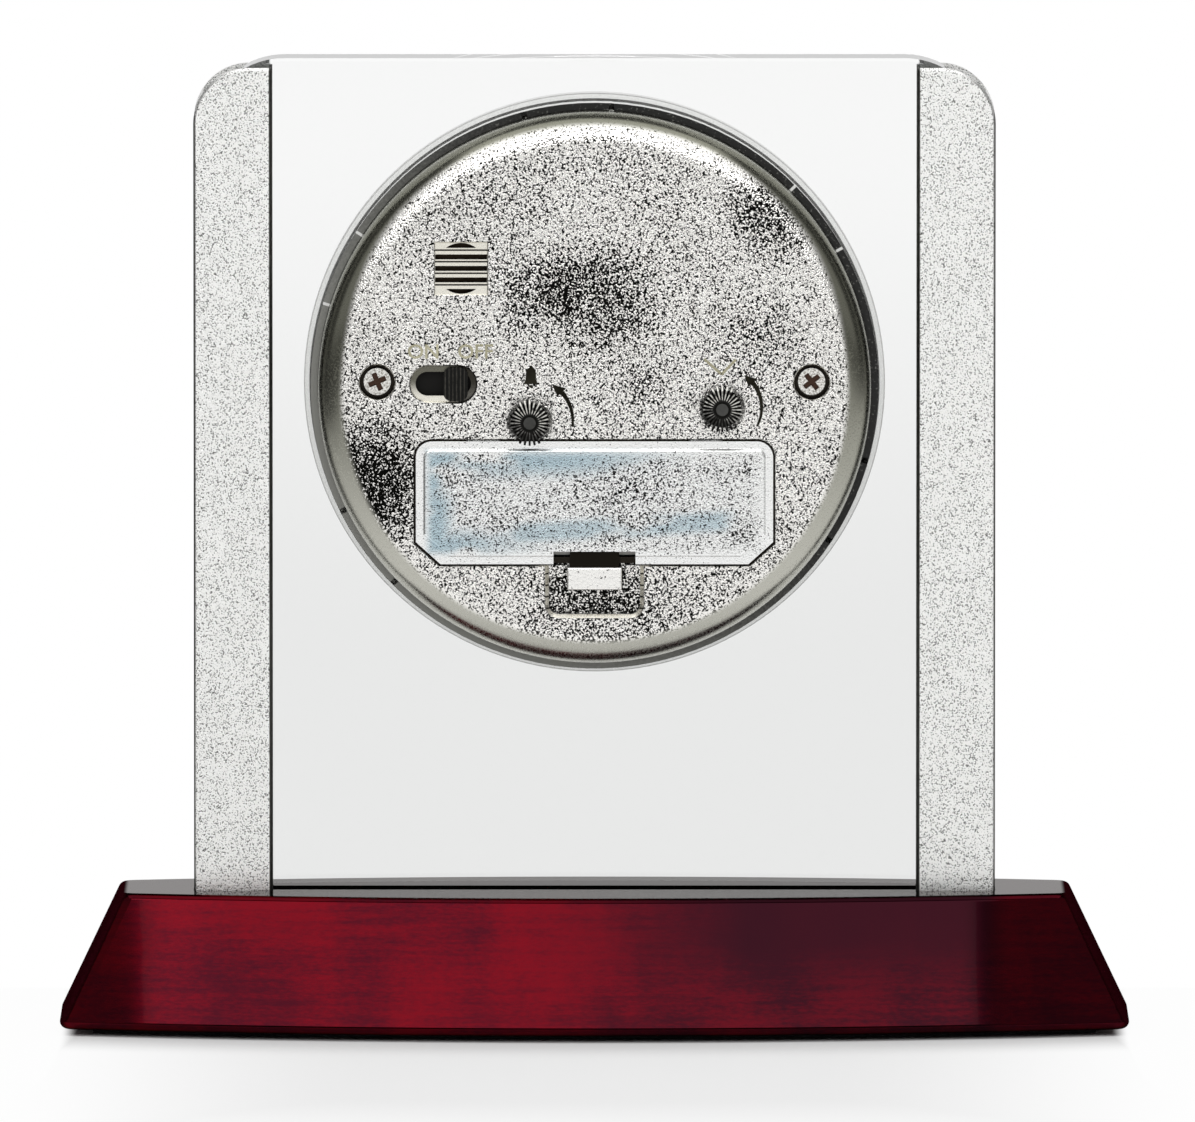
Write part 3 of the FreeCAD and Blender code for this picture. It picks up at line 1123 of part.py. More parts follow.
def centre_wheel():
    """The wheel on the short pipe that drives the cannon pinion by friction."""
    wheel = train_wheel(CENTRE_WHEEL_TEETH, THIRD_MODULE, CENTRE_LAYER, 0.0, CENTRE)
    return piped_wheel(wheel, CANNON_PIPE, SECONDS_ARBOR + PIPE_GAP,
                       MINUTE_LAYER + WHEEL_THICKNESS + PIPE_GAP, CENTRE_LAYER + TRAIN_WHEEL_THICKNESS)


def third_wheel():
    """The wheel between the seconds pinion and the centre wheel."""
    wheel = train_wheel(THIRD_WHEEL_TEETH, SECONDS_MODULE, THIRD_LAYER, THIRD_WHEEL_PHASE, THIRD_AT)
    leaves = train_pinion(THIRD_MODULE, CENTRE_LAYER, THIRD_PINION_PHASE, THIRD_AT)
    return wheel.fuse([leaves, arbor(THIRD_AT)])


def seconds_wheel():
    """The wheel whose long arbor carries the second hand."""
    wheel = train_wheel(SECONDS_WHEEL_TEETH, STEP_MODULE, SECONDS_LAYER, 0.0, CENTRE)
    leaves = train_pinion(SECONDS_MODULE, THIRD_LAYER, 0.0, CENTRE)
    return wheel.fuse([leaves, disc(SECONDS_ARBOR, SECOND_HAND_BACK - HAND_THICKNESS, REAR_BACK)])


def step_wheel():
    """The wheel between rotor and seconds wheel."""
    wheel = train_wheel(STEP_WHEEL_TEETH, ROTOR_MODULE, STEP_LAYER, 0.0, STEP_AT)
    leaves = train_pinion(STEP_MODULE, SECONDS_LAYER, STEP_PINION_PHASE, STEP_AT)
    return wheel.fuse([leaves, arbor(STEP_AT)])


def rotor():
    """The magnet on its arbor, with the motor pinion."""
    front = MIDDLE_BACK + ROTOR_FRONT
    magnet = disc(ROTOR_RADIUS, front, front + ROTOR_LENGTH, *ROTOR_AT)
    leaves = train_pinion(ROTOR_MODULE, STEP_LAYER, ROTOR_PHASE, ROTOR_AT)
    return magnet.fuse([leaves, arbor(ROTOR_AT)])


# ---------------------------------------------------------------- hands
def hand(clock_angle, length, width, back, bore, tail=0.0):
    """A tapering hand on a round hub, turned clockwise from twelve as seen from the front."""
    hub = bore + HAND_HUB_WALL
    front = back - HAND_THICKNESS
    blade = plate(((-width / 2, -tail), (width / 2, -tail), (width / 2, length * 0.7), (0, length),
                   (-width / 2, length * 0.7)), front, back)
    shape = blade.fuse(disc(hub, front, back)).cut(disc(bore, front, back))
    shape.rotate(ORIGIN, Y_AXIS, clock_angle)
    return shape


def hour_hand():
    """The hour hand."""
    angle = (SHOWN_HOUR + SHOWN_MINUTE / 60) * 30
    return hand(angle, HOUR_HAND_LENGTH, HOUR_HAND_WIDTH, HOUR_HAND_BACK, HOUR_PIPE)


def minute_hand():
    """The minute hand."""
    return hand(SHOWN_MINUTE * 6, MINUTE_HAND_LENGTH, MINUTE_HAND_WIDTH, MINUTE_HAND_BACK, CANNON_PIPE)


def second_hand():
    """The second hand, with its tail."""
    return hand(SHOWN_SECOND * 6, SECOND_HAND_LENGTH, SECOND_HAND_WIDTH, SECOND_HAND_BACK,
                SECONDS_ARBOR, SECOND_HAND_TAIL)


def alarm_hand():
    """The alarm hand."""
    return hand(ALARM_HOUR * 30, ALARM_HAND_LENGTH, ALARM_HAND_WIDTH, ALARM_HAND_BACK, ALARM_PIPE)


# ---------------------------------------------------------------- all pieces
STAND_PIECES = {
    "base_block": base_block,
    "felt_pad": felt_pad,
    "glass_panel": glass_panel,
    "left_side_post": lambda: side_post(-1),
    "right_side_post": lambda: side_post(1),
}

INSERT_PIECES = {
    "bezel_ring": bezel_ring,
    "crystal_lens": crystal_lens,
    "dial_surround": dial_surround,
    "dial_plate": dial_plate,
    "front_plate": front_plate,
    "middle_plate": middle_plate,
    "rear_plate": rear_plate,
    "plate_screws": plate_screws,
    "case_back": case_back,
    "case_screws": case_screws,
    "grip_ring": grip_ring,
    "battery_door": battery_door,
    "door_latch": door_latch,
    "plate_contact": plate_contact,
    "spring_contact": spring_contact,
    "stator": stator,
    "coil_core": coil_core,
    "coil_bobbin": coil_bobbin,
    "coil_winding": coil_winding,
    "circuit_board": circuit_board,
    "quartz_can": quartz_can,
    "control_chip": control_chip,
    "buzzer_disc": buzzer_disc,
    "switch_body": switch_body,
    "switch_slider": switch_slider,
    "switch_wiper": switch_wiper,
    "alarm_wheel": alarm_wheel,
    "hour_wheel": hour_wheel,
    "cannon_pinion": cannon_pinion,
    "minute_wheel": minute_wheel,
    "time_set_shaft": time_set_shaft,
    "alarm_set_shaft": alarm_set_shaft,
    "time_knob": lambda: finned_knob(TIME_SHAFT),
    "alarm_knob": lambda: finned_knob(ALARM_SHAFT),
    "centre_wheel": centre_wheel,
    "third_wheel": third_wheel,
    "seconds_wheel": seconds_wheel,
    "step_wheel": step_wheel,
    "rotor": rotor,
    "hour_hand": hour_hand,
    "minute_hand": minute_hand,
    "second_hand": second_hand,
    "alarm_hand": alarm_hand,
}


def main():
    """Builds and writes every piece."""
    os.makedirs("parts", exist_ok=True)
    for name, make in STAND_PIECES.items():
        save(name, make())
    for name, make in INSERT_PIECES.items():
        save(name, make(), INSERT_HEIGHT)


main()
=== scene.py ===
"""A desk alarm clock of glass and lacquered wood, dressed for its portrait.

The clock stands on the origin with its dial towards -Y and its case back towards +Y. Lengths
are metres, except where a docstring gives mm. Places on the round insert are in mm: across is
along X, above along Z from the dial's middle, and deep along Y from the middle of the glass.
"""

import logging
import math
from dataclasses import dataclass, field
from enum import Enum
from functools import lru_cache
from typing import Any, Optional, Sequence, Union

import bmesh
import bpy
from mathutils import Matrix, Vector


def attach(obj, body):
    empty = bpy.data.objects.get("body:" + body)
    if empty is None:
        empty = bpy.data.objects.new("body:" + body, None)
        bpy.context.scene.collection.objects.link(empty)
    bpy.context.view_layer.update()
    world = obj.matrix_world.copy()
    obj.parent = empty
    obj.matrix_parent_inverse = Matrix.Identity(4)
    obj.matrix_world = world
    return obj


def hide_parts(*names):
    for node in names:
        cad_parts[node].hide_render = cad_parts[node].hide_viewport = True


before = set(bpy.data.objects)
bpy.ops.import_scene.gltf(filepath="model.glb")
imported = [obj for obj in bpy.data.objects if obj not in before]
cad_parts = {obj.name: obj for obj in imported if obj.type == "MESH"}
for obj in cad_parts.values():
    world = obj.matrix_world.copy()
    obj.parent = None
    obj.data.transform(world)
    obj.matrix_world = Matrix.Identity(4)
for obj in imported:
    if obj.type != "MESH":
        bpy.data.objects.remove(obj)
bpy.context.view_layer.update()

Colour = tuple[float, float, float]
Triple = tuple[float, float, float]
Point = tuple[float, float]
Outline = list[Point]
Dressing = tuple[tuple["Finish", tuple[str, ...]], ...]
Operand = Union["Signal", float]
Sockets = dict[Union[int, str], Any]

MM = 0.001
DIAL_MIDDLE = 0.1052
ALARM_KNOB = (10.5, -5.1)
TIME_KNOB = (-20.7, -2.9)
FULL_TURN = 2 * math.pi
QUARTER_TURN = FULL_TURN / 4
PLAIN_WHITE = (1.0, 1.0, 1.0)
LETTER_STEPS = 3
log = logging.getLogger("clock")


def opaque(colour: Colour) -> tuple[float, float, float, float]:
    """Gives a colour its alpha of 1."""
    return (*colour, 1.0)


# ------------------------------------------------------------------ node trees
class Signal:
    """A socket's value on its way through a tree, with arithmetic on it."""

    def __init__(self, graph: "Graph", socket: bpy.types.NodeSocket) -> None:
        """Keeps the graph and the socket that the value comes from."""
        self.graph = graph
        self.socket = socket

    def _math(self, operation: str, *operands: Operand) -> "Signal":
        """The result of a Math node on the operands."""
        return self.graph.add("ShaderNodeMath", {"operation": operation},
                              dict(enumerate(operands)))["Value"]

    def __add__(self, other: Operand) -> "Signal":
        """self + other."""
        return self._math("ADD", self, other)

    def __radd__(self, other: Operand) -> "Signal":
        """other + self."""
        return self._math("ADD", other, self)

    def __sub__(self, other: Operand) -> "Signal":
        """self - other."""
        return self._math("SUBTRACT", self, other)

    def __rsub__(self, other: Operand) -> "Signal":
        """other - self."""
        return self._math("SUBTRACT", other, self)

    def __mul__(self, other: Operand) -> "Signal":
        """self * other."""
        return self._math("MULTIPLY", self, other)

    def __truediv__(self, other: Operand) -> "Signal":
        """self / other."""
        return self._math("DIVIDE", self, other)

    def __pow__(self, other: Operand) -> "Signal":
        """self ** other."""
        return self._math("POWER", self, other)

    def sine(self) -> "Signal":
        """The sine of the value in radians."""
        return self._math("SINE", self)

    def bearing(self, across: "Signal") -> "Signal":
        """The angle of the place (across, self) in radians."""
        return self._math("ARCTAN2", self, across)

    def reach(self, other: "Signal") -> "Signal":
        """The distance of the place (self, other) from zero."""
        return self._math("SQRT", self * self + other * other)

    def absolute(self) -> "Signal":
        """The value without its sign."""
        return self._math("ABSOLUTE", self)

    def at_most(self, other: Operand) -> "Signal":
        """The smaller of two values."""
        return self._math("MINIMUM", self, other)

    def at_least(self, other: Operand) -> "Signal":
        """The larger of two values."""
        return self._math("MAXIMUM", self, other)

    def wave(self, pitch: float) -> "Signal":
        """A wave from -1 to 1 of the given pitch, with a crest at 0."""
        return self._math("COSINE", self * (FULL_TURN / pitch))

    def share(self) -> "Signal":
        """A value from -1 to 1 as a share from 0 to 1."""
        return self * 0.5 + 0.5

    def or_else(self, other: Operand) -> "Signal":
        """1 where the value is 1, and the other where it is 0."""
        return self + (1 - self) * other

    def swing(self, amount: Operand) -> "Signal":
        """How far a noise is off its middle of a half, times an amount."""
        return (self - 0.5) * amount


class Outputs:
    """The outputs of one node."""

    def __init__(self, graph: "Graph", node: bpy.types.Node) -> None:
        """Keeps the graph and the node."""
        self.graph = graph
        self.node = node

    def __getitem__(self, key: Union[int, str]) -> Signal:
        """The signal of an output, by its name or place."""
        return Signal(self.graph, self.node.outputs[key])


class Graph:
    """A node tree that is built by expressions."""

    def __init__(self, tree: bpy.types.NodeTree) -> None:
        """Empties the tree."""
        self.tree = tree
        tree.nodes.clear()

    def add(self, kind: str, settings: Optional[dict[str, Any]] = None,
            sockets: Optional[Sockets] = None) -> Outputs:
        """Adds a node.

        Args:
            kind: the node's type.
            settings: its properties, set first.
            sockets: a value or signal for each input, or a list of signals that it joins.

        Returns:
            The node's outputs.
        """
        node = self.tree.nodes.new(kind)
        for name, value in (settings or {}).items():
            setattr(node, name, value)
        for key, given in (sockets or {}).items():
            for value in given if isinstance(given, list) else [given]:
                if isinstance(value, Signal):
                    self.tree.links.new(value.socket, node.inputs[key])
                else:
                    node.inputs[key].default_value = value
        return Outputs(self, node)

    def axes(self, source: str = "Object") -> tuple[Signal, Signal, Signal]:
        """Texture coordinates one by one.

        Args:
            source: which output of the Texture Coordinate node they are.

        Returns:
            The places along X, Y and Z.
        """
        where = self.add("ShaderNodeTexCoord")[source]
        split = self.add("ShaderNodeSeparateXYZ", {}, {"Vector": where})
        return split["X"], split["Y"], split["Z"]

    def from_dial(self) -> tuple[Signal, Signal, Signal]:
        """Object coordinates as places on the insert in mm: across, deep and above."""
        across, deep, above = self.axes()
        return across / MM, deep / MM, (above - DIAL_MIDDLE) / MM

    def tint(self, factor: Operand, low: Union[Signal, Colour],
             high: Union[Signal, Colour]) -> Signal:
        """A mix of two colours.

        Args:
            factor: share of the second.
            low: the first colour.
            high: the second colour.

        Returns:
            The mixed colour.
        """
        ends = [end if isinstance(end, Signal) else opaque(end) for end in (low, high)]
        return self.add("ShaderNodeMix", {"data_type": "RGBA"},
                        {0: factor, 6: ends[0], 7: ends[1]})[2]

    def bump(self, relief: Operand, depth: float) -> Signal:
        """The normal of a relief whose unit is so many metres deep."""
        return self.add("ShaderNodeBump", {}, {"Height": relief, "Distance": depth})["Normal"]

    def surface(self, sockets: Sockets) -> Signal:
        """A Principled surface with the given sockets."""
        return self.add("ShaderNodeBsdfPrincipled", {}, sockets)["BSDF"]

    def rays(self, *kinds: str) -> Signal:
        """1 where a ray is one of the given kinds.

        Args:
            *kinds: outputs of the Light Path node.

        Returns:
            The mask.
        """
        path = self.add("ShaderNodeLightPath")
        mask = path[kinds[0]]
        for kind in kinds[1:]:
            mask = mask.at_least(path[kind])
        return mask

    def mixed(self, factor: Operand, first: Signal, second: Signal) -> Signal:
        """A mix of two shaders."""
        return self.add("ShaderNodeMixShader", {}, {0: factor, 1: first, 2: second})["Shader"]


@dataclass(frozen=True)
class Ramp:
    """A smooth step from start, below low, to end, above high."""

    low: float
    high: float
    start: float = 0.0
    end: float = 1.0

    def __call__(self, value: Signal) -> Signal:
        """The step of a value."""
        return value.graph.add("ShaderNodeMapRange", {"interpolation_type": "SMOOTHSTEP"},
                               {"Value": value, "From Min": self.low, "From Max": self.high,
                                "To Min": self.start, "To Max": self.end})["Result"]


def fall(low: float, high: float, start: float = 1.0, end: float = 0.0) -> Ramp:
    """A ramp that goes down."""
    return Ramp(low, high, start, end)


@dataclass(frozen=True)
class Band:
    """1 from full to fading, and 0 below low and above high."""

    low: float
    full: float
    fading: float
    high: float

    def __call__(self, value: Signal) -> Signal:
        """The share of the band at a value."""
        return Ramp(self.low, self.full)(value) * fall(self.fading, self.high)(value)


@dataclass(frozen=True)
class Noise:
    """Noise on Object coordinates: features to a metre, octaves, weight of the finer ones."""

    scale: float
    detail: float = 2.0
    rough: float = 0.5
    stretch: Triple = (1.0, 1.0, 1.0)

    def __call__(self, graph: Graph) -> Signal:
        """Reads the noise.

        Args:
            graph: the tree.

        Returns:
            A value about a half.
        """
        where = graph.add("ShaderNodeMapping", {}, {
            "Vector": graph.add("ShaderNodeTexCoord")["Object"], "Scale": self.stretch})["Vector"]
        return graph.add("ShaderNodeTexNoise", {}, {
            "Vector": where, "Scale": self.scale, "Detail": self.detail,
            "Roughness": self.rough})["Fac"]


# ------------------------------------------------------------------ finishes
@dataclass(frozen=True)
class Finish:
    """What a surface is made of; each kind says how it is shaded."""

    name: str

    def shade(self, graph: Graph) -> Signal:
        """Builds the shader and returns it."""
        raise NotImplementedError

    @lru_cache(maxsize=None)
    def material(self) -> bpy.types.Material:
        """Makes the Blender material of this finish, once.

        Returns:
            The material.
        """
        made = bpy.data.materials.new(self.name)
        made.use_nodes = True
        graph = Graph(made.node_tree)
        graph.add("ShaderNodeOutputMaterial", {}, {"Surface": self.shade(graph)})
        return made


@dataclass(frozen=True, kw_only=True)
class Skinned(Finish):
    """A finish with a fine relief and an uneven gloss."""

    roughness: float
    uneven: float
    depth: float
    metallic: float = 0.0
    shine: float = 0.5

    def skin(self, graph: Graph, colour: Signal, relief: Signal,
             gloss: Optional[Signal] = None) -> Signal:
        """The surface with this finish's gloss and depth of relief.

        Args:
            graph: the tree.
            colour: its colour.
            relief: the relief, as a share of this finish's depth.
            gloss: what makes the roughness uneven, where the relief doesn't.

        Returns:
            The shader.
        """
        return graph.surface({
            "Base Color": colour,
            "Metallic": self.metallic,
            "Roughness": self.roughness + (gloss or relief).swing(self.uneven),
            "Specular IOR Level": self.shine,
            "Normal": graph.bump(relief, self.depth)})


@dataclass(frozen=True, kw_only=True)
class Moulded(Skinned):
    """Moulded plastic, paint or resin with faint clouding and an even skin."""

    colour: Colour
    shade_colour: Colour
    uneven: float = 0.16
    depth: float = 0.00001
    grain: float = 0.0006
    cloud: Noise = Noise(90, 4, 0.6)
    clouded: Ramp = Ramp(0.3, 0.7)

    def shade(self, graph: Graph) -> Signal:
        """Clouded colour under a fine skin.

        Args:
            graph: the tree.

        Returns:
            The shader.
        """
        colour = graph.tint(self.clouded(self.cloud(graph)), self.shade_colour, self.colour)
        return self.skin(graph, colour, Noise(1 / self.grain)(graph))


@dataclass(frozen=True, kw_only=True)
class Metal(Skinned):
    """Bare or plated metal with a rolled, brushed or dulled surface."""

    colour: Colour
    dull: Colour
    uneven: float = 0.2
    depth: float = 0.000004
    metallic: float = 1.0
    stretch: Triple = (1.0, 1.0, 1.0)
    grain: float = 0.0003
    haze: Noise = Noise(140, 4, 0.65)
    hazed: Ramp = Ramp(0.35, 0.7)
    haze_gloss: float = 0.3

    def shade(self, graph: Graph) -> Signal:
        """Brushing along one axis over slow dulling.

        Args:
            graph: the tree.

        Returns:
            The shader.
        """
        lines = Noise(1 / self.grain, stretch=self.stretch)(graph)
        haze = self.haze(graph)
        return self.skin(graph, graph.tint(self.hazed(haze), self.colour, self.dull), lines,
                         lines + haze * self.haze_gloss)


@dataclass(frozen=True, kw_only=True)
class Sparkle(Skinned):
    """Silver aluminium with a fine blasted sparkle and painted shade on its edges."""

    light: Colour = (0.98, 0.98, 0.96)
    dark: Colour = (0.10, 0.10, 0.095)
    # The edge colour is painted shade on the inner edges and near the rear outer arris.
    edge: Colour = (0.05, 0.05, 0.045)
    roughness: float = 0.39
    uneven: float = -0.22
    depth: float = 0.00006
    metallic: float = 0.85
    grain: float = 0.00021
    facets: Noise = Noise(1 / grain, 2, 0.6)
    slow: Noise = Noise(0.12 / grain)
    drift: float = 0.08
    cut: Ramp = Ramp(0.395, 0.445)
    inner: Ramp = fall(0.0527, 0.0529)
    outer: Ramp = Ramp(0.0647, 0.0649)
    arris: Ramp = Ramp(0.0051, 0.0054)

    def shade(self, graph: Graph) -> Signal:
        """Bright facets with darker pits between them.

        Args:
            graph: the tree.

        Returns:
            The shader.
        """
        facets = self.facets(graph)
        bright = self.cut(facets + self.slow(graph).swing(self.drift))
        across, deep, _ = (axis.absolute() for axis in graph.axes())
        # Painted shade along the inner edges and on the outer faces near the rear arris.
        painted_edge_shade = self.inner(across).at_least(self.outer(across) * self.arris(deep))
        colour = graph.tint(painted_edge_shade, graph.tint(bright, self.dark, self.light), self.edge)
        return self.skin(graph, colour, facets, bright)


@dataclass(frozen=True)
class Patch:
    """A round area of a finish, in mm from the middle of the dial."""

    across: float
    above: float
    radius: float
    share: float
    core: float = 0.25

    def mask(self, across: Signal, above: Signal) -> Signal:
        """The patch's share, fading from its core to its edge.

        Args:
            across: the place along X in mm.
            above: the place along Z in mm.

        Returns:
            The share at each place.
        """
        away = (across - self.across).reach(above - self.above)
        return fall(self.radius * self.core, self.radius, self.share)(away)


@dataclass(frozen=True, kw_only=True)
class Grained(Skinned):
    """Bright plating over a fine spark-eroded grain."""

    light: Colour = (0.97, 0.955, 0.92)
    dark: Colour = (0.004, 0.004, 0.0035)
    roughness: float = 0.28
    uneven: float = -0.12
    depth: float = 0.00008
    metallic: float = 1.0
    grain: float = 0.00029
    cut: Ramp = Ramp(0.408, 0.462)
    crisp: float = 1.6

    def speckle(self, graph: Graph, shift: Operand) -> tuple[Signal, Signal]:
        """The grain.

        Args:
            graph: the tree.
            shift: moves the balance towards bright.

        Returns:
            Its relief and where it is bright.
        """
        relief = Noise(1 / self.grain, 1)(graph)
        return relief, self.cut(relief + shift) ** self.crisp

    def plated(self, graph: Graph, colour: Signal, relief: Signal, bright: Signal,
               flat: Operand) -> Signal:
        """The plated surface.

        Args:
            graph: the tree.
            colour: its colour.
            relief: the grain's relief.
            bright: where the grain is bright.
            flat: where there is no grain.

        Returns:
            The shader.
        """
        return self.skin(graph, colour, relief.swing(1 - flat), bright)


@dataclass(frozen=True, kw_only=True)
class CaseGrain(Grained):
    """The case back: grain on its face and pocket, smooth plating on wall and openings, with
    painted light and shade.

    All places are in mm: deep counts from the middle of the glass, and the face is at 11.5.
    """

    # Painted shade on the wall's top and painted light low on it.
    wall_top: Colour = (0.21, 0.21, 0.170)
    wall_low: Colour = (0.52, 0.515, 0.46)
    # Painted light on the openings' shelves and bars, painted shade on their floors and in their
    # depths.
    shelf: Colour = (0.90, 0.87, 0.78)
    floor: Colour = (0.16, 0.155, 0.125)
    depths: Colour = (0.022, 0.019, 0.015)
    slow: Noise = Noise(70, 3, 0.55)
    slow_gain: float = 0.10
    patch_gain: float = 0.105
    # The pocket's grain is darkened as painted shade, and the top of the face's edge lightened as a
    # painted highlight.
    pocket_gain: float = 0.065
    halo_gain: float = 0.05
    patches: tuple[Patch, ...] = (
        Patch(-1.0, 14.5, 13.0, 1.0), Patch(9.5, 16.5, 9.0, 0.8), Patch(-8.0, 0.5, 5.0, 0.5),
        Patch(38.0, -15.5, 14.0, 1.7), Patch(-29.0, 28.5, 10.0, 1.1), Patch(0.0, -38.0, 22.0, 0.5),
        Patch(-27.0, 9.0, 9.0, 0.4))
    face_radius: float = 40.2
    within: Ramp = fall(40.2, 40.3)
    upper: Ramp = Ramp(2.0, 34.0)
    upper_growth: float = 1.9
    wall: Ramp = Ramp(0.3, 1.5)
    wall_height: Ramp = Ramp(-36.0, 10.0)
    # A painted highlight inside the top of the face's edge.
    halo: Ramp = Ramp(-1.5, -0.1)
    pocket_top: Ramp = fall(-25.5, -25.0)
    pocket_side: Ramp = fall(8.5, 9.5)
    pocket_floor: Ramp = fall(8.65, 8.75)
    ledge: Band = Band(10.62, 10.68, 10.72, 10.78)
    sunk: Ramp = fall(11.32, 11.44)
    # The slots between the grille's bars are painted dark as shade.
    slot_middle: float = 17.97
    slot_pitch: float = 1.88
    slots: Ramp = Ramp(-0.97, -0.82)
    # The openings' floors are painted lit towards the bottom and shaded towards the top.
    lit: Ramp = fall(-0.6, 2.6)
    lit_waver: float = 2.0
    riser: Ramp = Ramp(10.55, 10.9)
    # The depths, the bay's edge and the switch's recess beside the slider are painted dark as
    # shade.
    gap: Ramp = fall(-7.9, -7.4)
    rim: Ramp = fall(10.55, 10.75)
    buried: Ramp = fall(10.3, 10.45)
    switch_across: Band = Band(16.0, 17.0, 21.8, 22.4)
    switch_above: Ramp = fall(5.0, 6.0, 0.85)

    def _inside(self, graph: Graph, slow: Signal, low: Signal) -> Signal:
        """The colour inside the openings: painted light on shelves and bars, painted shade in
        slots, depths and beside the switch.

        Args:
            graph: the tree.
            slow: the slow unevenness.
            low: where the latch's pocket is.

        Returns:
            The colour.
        """
        across, deep, above = graph.from_dial()
        # Painted light on the bars, painted shade in the slots between them.
        bars = (above - self.slot_middle).wave(self.slot_pitch)
        shelf = graph.tint(self.slots(bars), self.depths, self.shelf)
        floor = graph.tint(self.lit(above + slow * self.lit_waver), self.floor, self.shelf)
        # Painted shade in the depths and beside the switch slider.
        buried = self.buried(deep).at_least(self.gap(above) * self.rim(deep).at_least(1 - low))
        shadow = self.switch_across(across) * self.switch_above(above.absolute())
        return graph.tint(buried.at_least(shadow), graph.tint(self.riser(deep), floor, shelf),
                          self.depths)

    def shade(self, graph: Graph) -> Signal:
        """Grain by depth and radius, darker in soft patches, with a painted highlight near the top
        of the face's edge and painted shade in the pocket, on the wall and in the openings.

        Args:
            graph: the tree.

        Returns:
            The shader.
        """
        across, deep, above = graph.from_dial()
        radius = across.reach(above)
        upper = self.upper(above)
        edge = radius - upper * self.upper_growth - self.face_radius
        wall = self.wall(edge)
        darker_patches = sum(patch.mask(across, above) for patch in self.patches)
        low = self.pocket_top(above) * self.pocket_side(across.absolute())
        pocket = self.pocket_floor(deep) * low
        grained = pocket.at_least(self.ledge(deep) * low)
        opening = self.sunk(deep) * (1 - grained) * self.within(radius)
        slow = self.slow(graph)
        # The pocket is darkened as painted shade and the top of the face's edge lightened as a
        # painted highlight.
        relief, bright = self.speckle(
            graph, slow.swing(self.slow_gain) - darker_patches * self.patch_gain
            - pocket * self.pocket_gain + self.halo(edge) * upper * self.halo_gain)
        face = graph.tint(opening, graph.tint(bright, self.dark, self.light),
                          self._inside(graph, slow, low))
        # The wall is painted darker at its top as shade and lighter low down.
        side = graph.tint(self.wall_height(above), self.wall_low, self.wall_top)
        return self.plated(graph, graph.tint(wall, face, side), relief, bright,
                           wall.at_least(opening))


@dataclass(frozen=True, kw_only=True)
class DoorGrain(Grained):
    """The battery door, in mm: finer grain inside a smooth rim with a cool cast along it."""

    light: Colour = (0.96, 0.965, 0.955)
    cool: Colour = (0.49, 0.62, 0.68)
    grain: float = 0.00026
    depth: float = 0.00006
    cut: Ramp = Ramp(0.392, 0.458)
    half_width: float = 26.4
    half_height: float = 7.7
    middle: float = -18.4
    rim: Ramp = Ramp(-1.6, 1.9)
    rim_flat: float = 0.8
    rim_gain: float = 0.15
    slow: Noise = Noise(75, stretch=(1.0, 1.0, 2.2))
    slow_gain: float = 0.22
    cast_gain: float = 0.05
    gain: float = 0.005
    ring: Band = Band(-5.0, -1.0, -0.4, 1.6)
    ring_side: Ramp = Ramp(-8.0, 16.0)
    ring_lean: float = 1.5
    streak: Ramp = fall(0.6, 2.6, 0.8)
    streak_below: float = 4.2
    streak_lean: float = 0.06
    streak_across: Band = Band(-24.0, -20.0, 12.0, 16.0)
    broken: Ramp = Ramp(0.30, 0.50)

    def shade(self, graph: Graph) -> Signal:
        """Grain by the distance from the rim.

        Args:
            graph: the tree.

        Returns:
            The shader.
        """
        across, _, above = graph.from_dial()
        rise = above - self.middle
        edge = (across.absolute() - self.half_width).at_least(rise.absolute() - self.half_height)
        rim = self.rim(edge)
        slow = self.slow(graph)
        ring = self.ring(edge) * self.ring_side(across + rise * self.ring_lean)
        streak = self.streak((rise + self.streak_below + across * self.streak_lean).absolute())
        cast = ring.at_least(streak * self.streak_across(across)) * self.broken(slow)
        relief, bright = self.speckle(graph, rim * self.rim_gain + slow.swing(self.slow_gain)
                                      + cast * self.cast_gain + self.gain)
        light = graph.tint(cast, self.light, self.cool)
        return self.plated(graph, graph.tint(bright, self.dark, light), relief, bright,
                           rim * self.rim_flat)


@dataclass(frozen=True, kw_only=True)
class TabGrain(Grained):
    """The latch: a nearly smooth tab on a stem that is painted dark as shadow."""

    light: Colour = (0.96, 0.95, 0.92)
    dark: Colour = (0.014, 0.012, 0.009)
    grain: float = 0.0004
    depth: float = 0.00004
    # The stem's grain is shifted dark as painted shadow.
    stem: Ramp = fall(10.6, 10.9)
    gain: float = 0.15
    flat: float = 0.6

    def shade(self, graph: Graph) -> Signal:
        """A few specks on the tab; the stem is painted dark as shadow.

        Args:
            graph: the tree.

        Returns:
            The shader.
        """
        relief, bright = self.speckle(graph, self.gain - self.stem(graph.from_dial()[1]))
        return self.plated(graph, graph.tint(bright, self.dark, self.light), relief, bright,
                           self.flat)


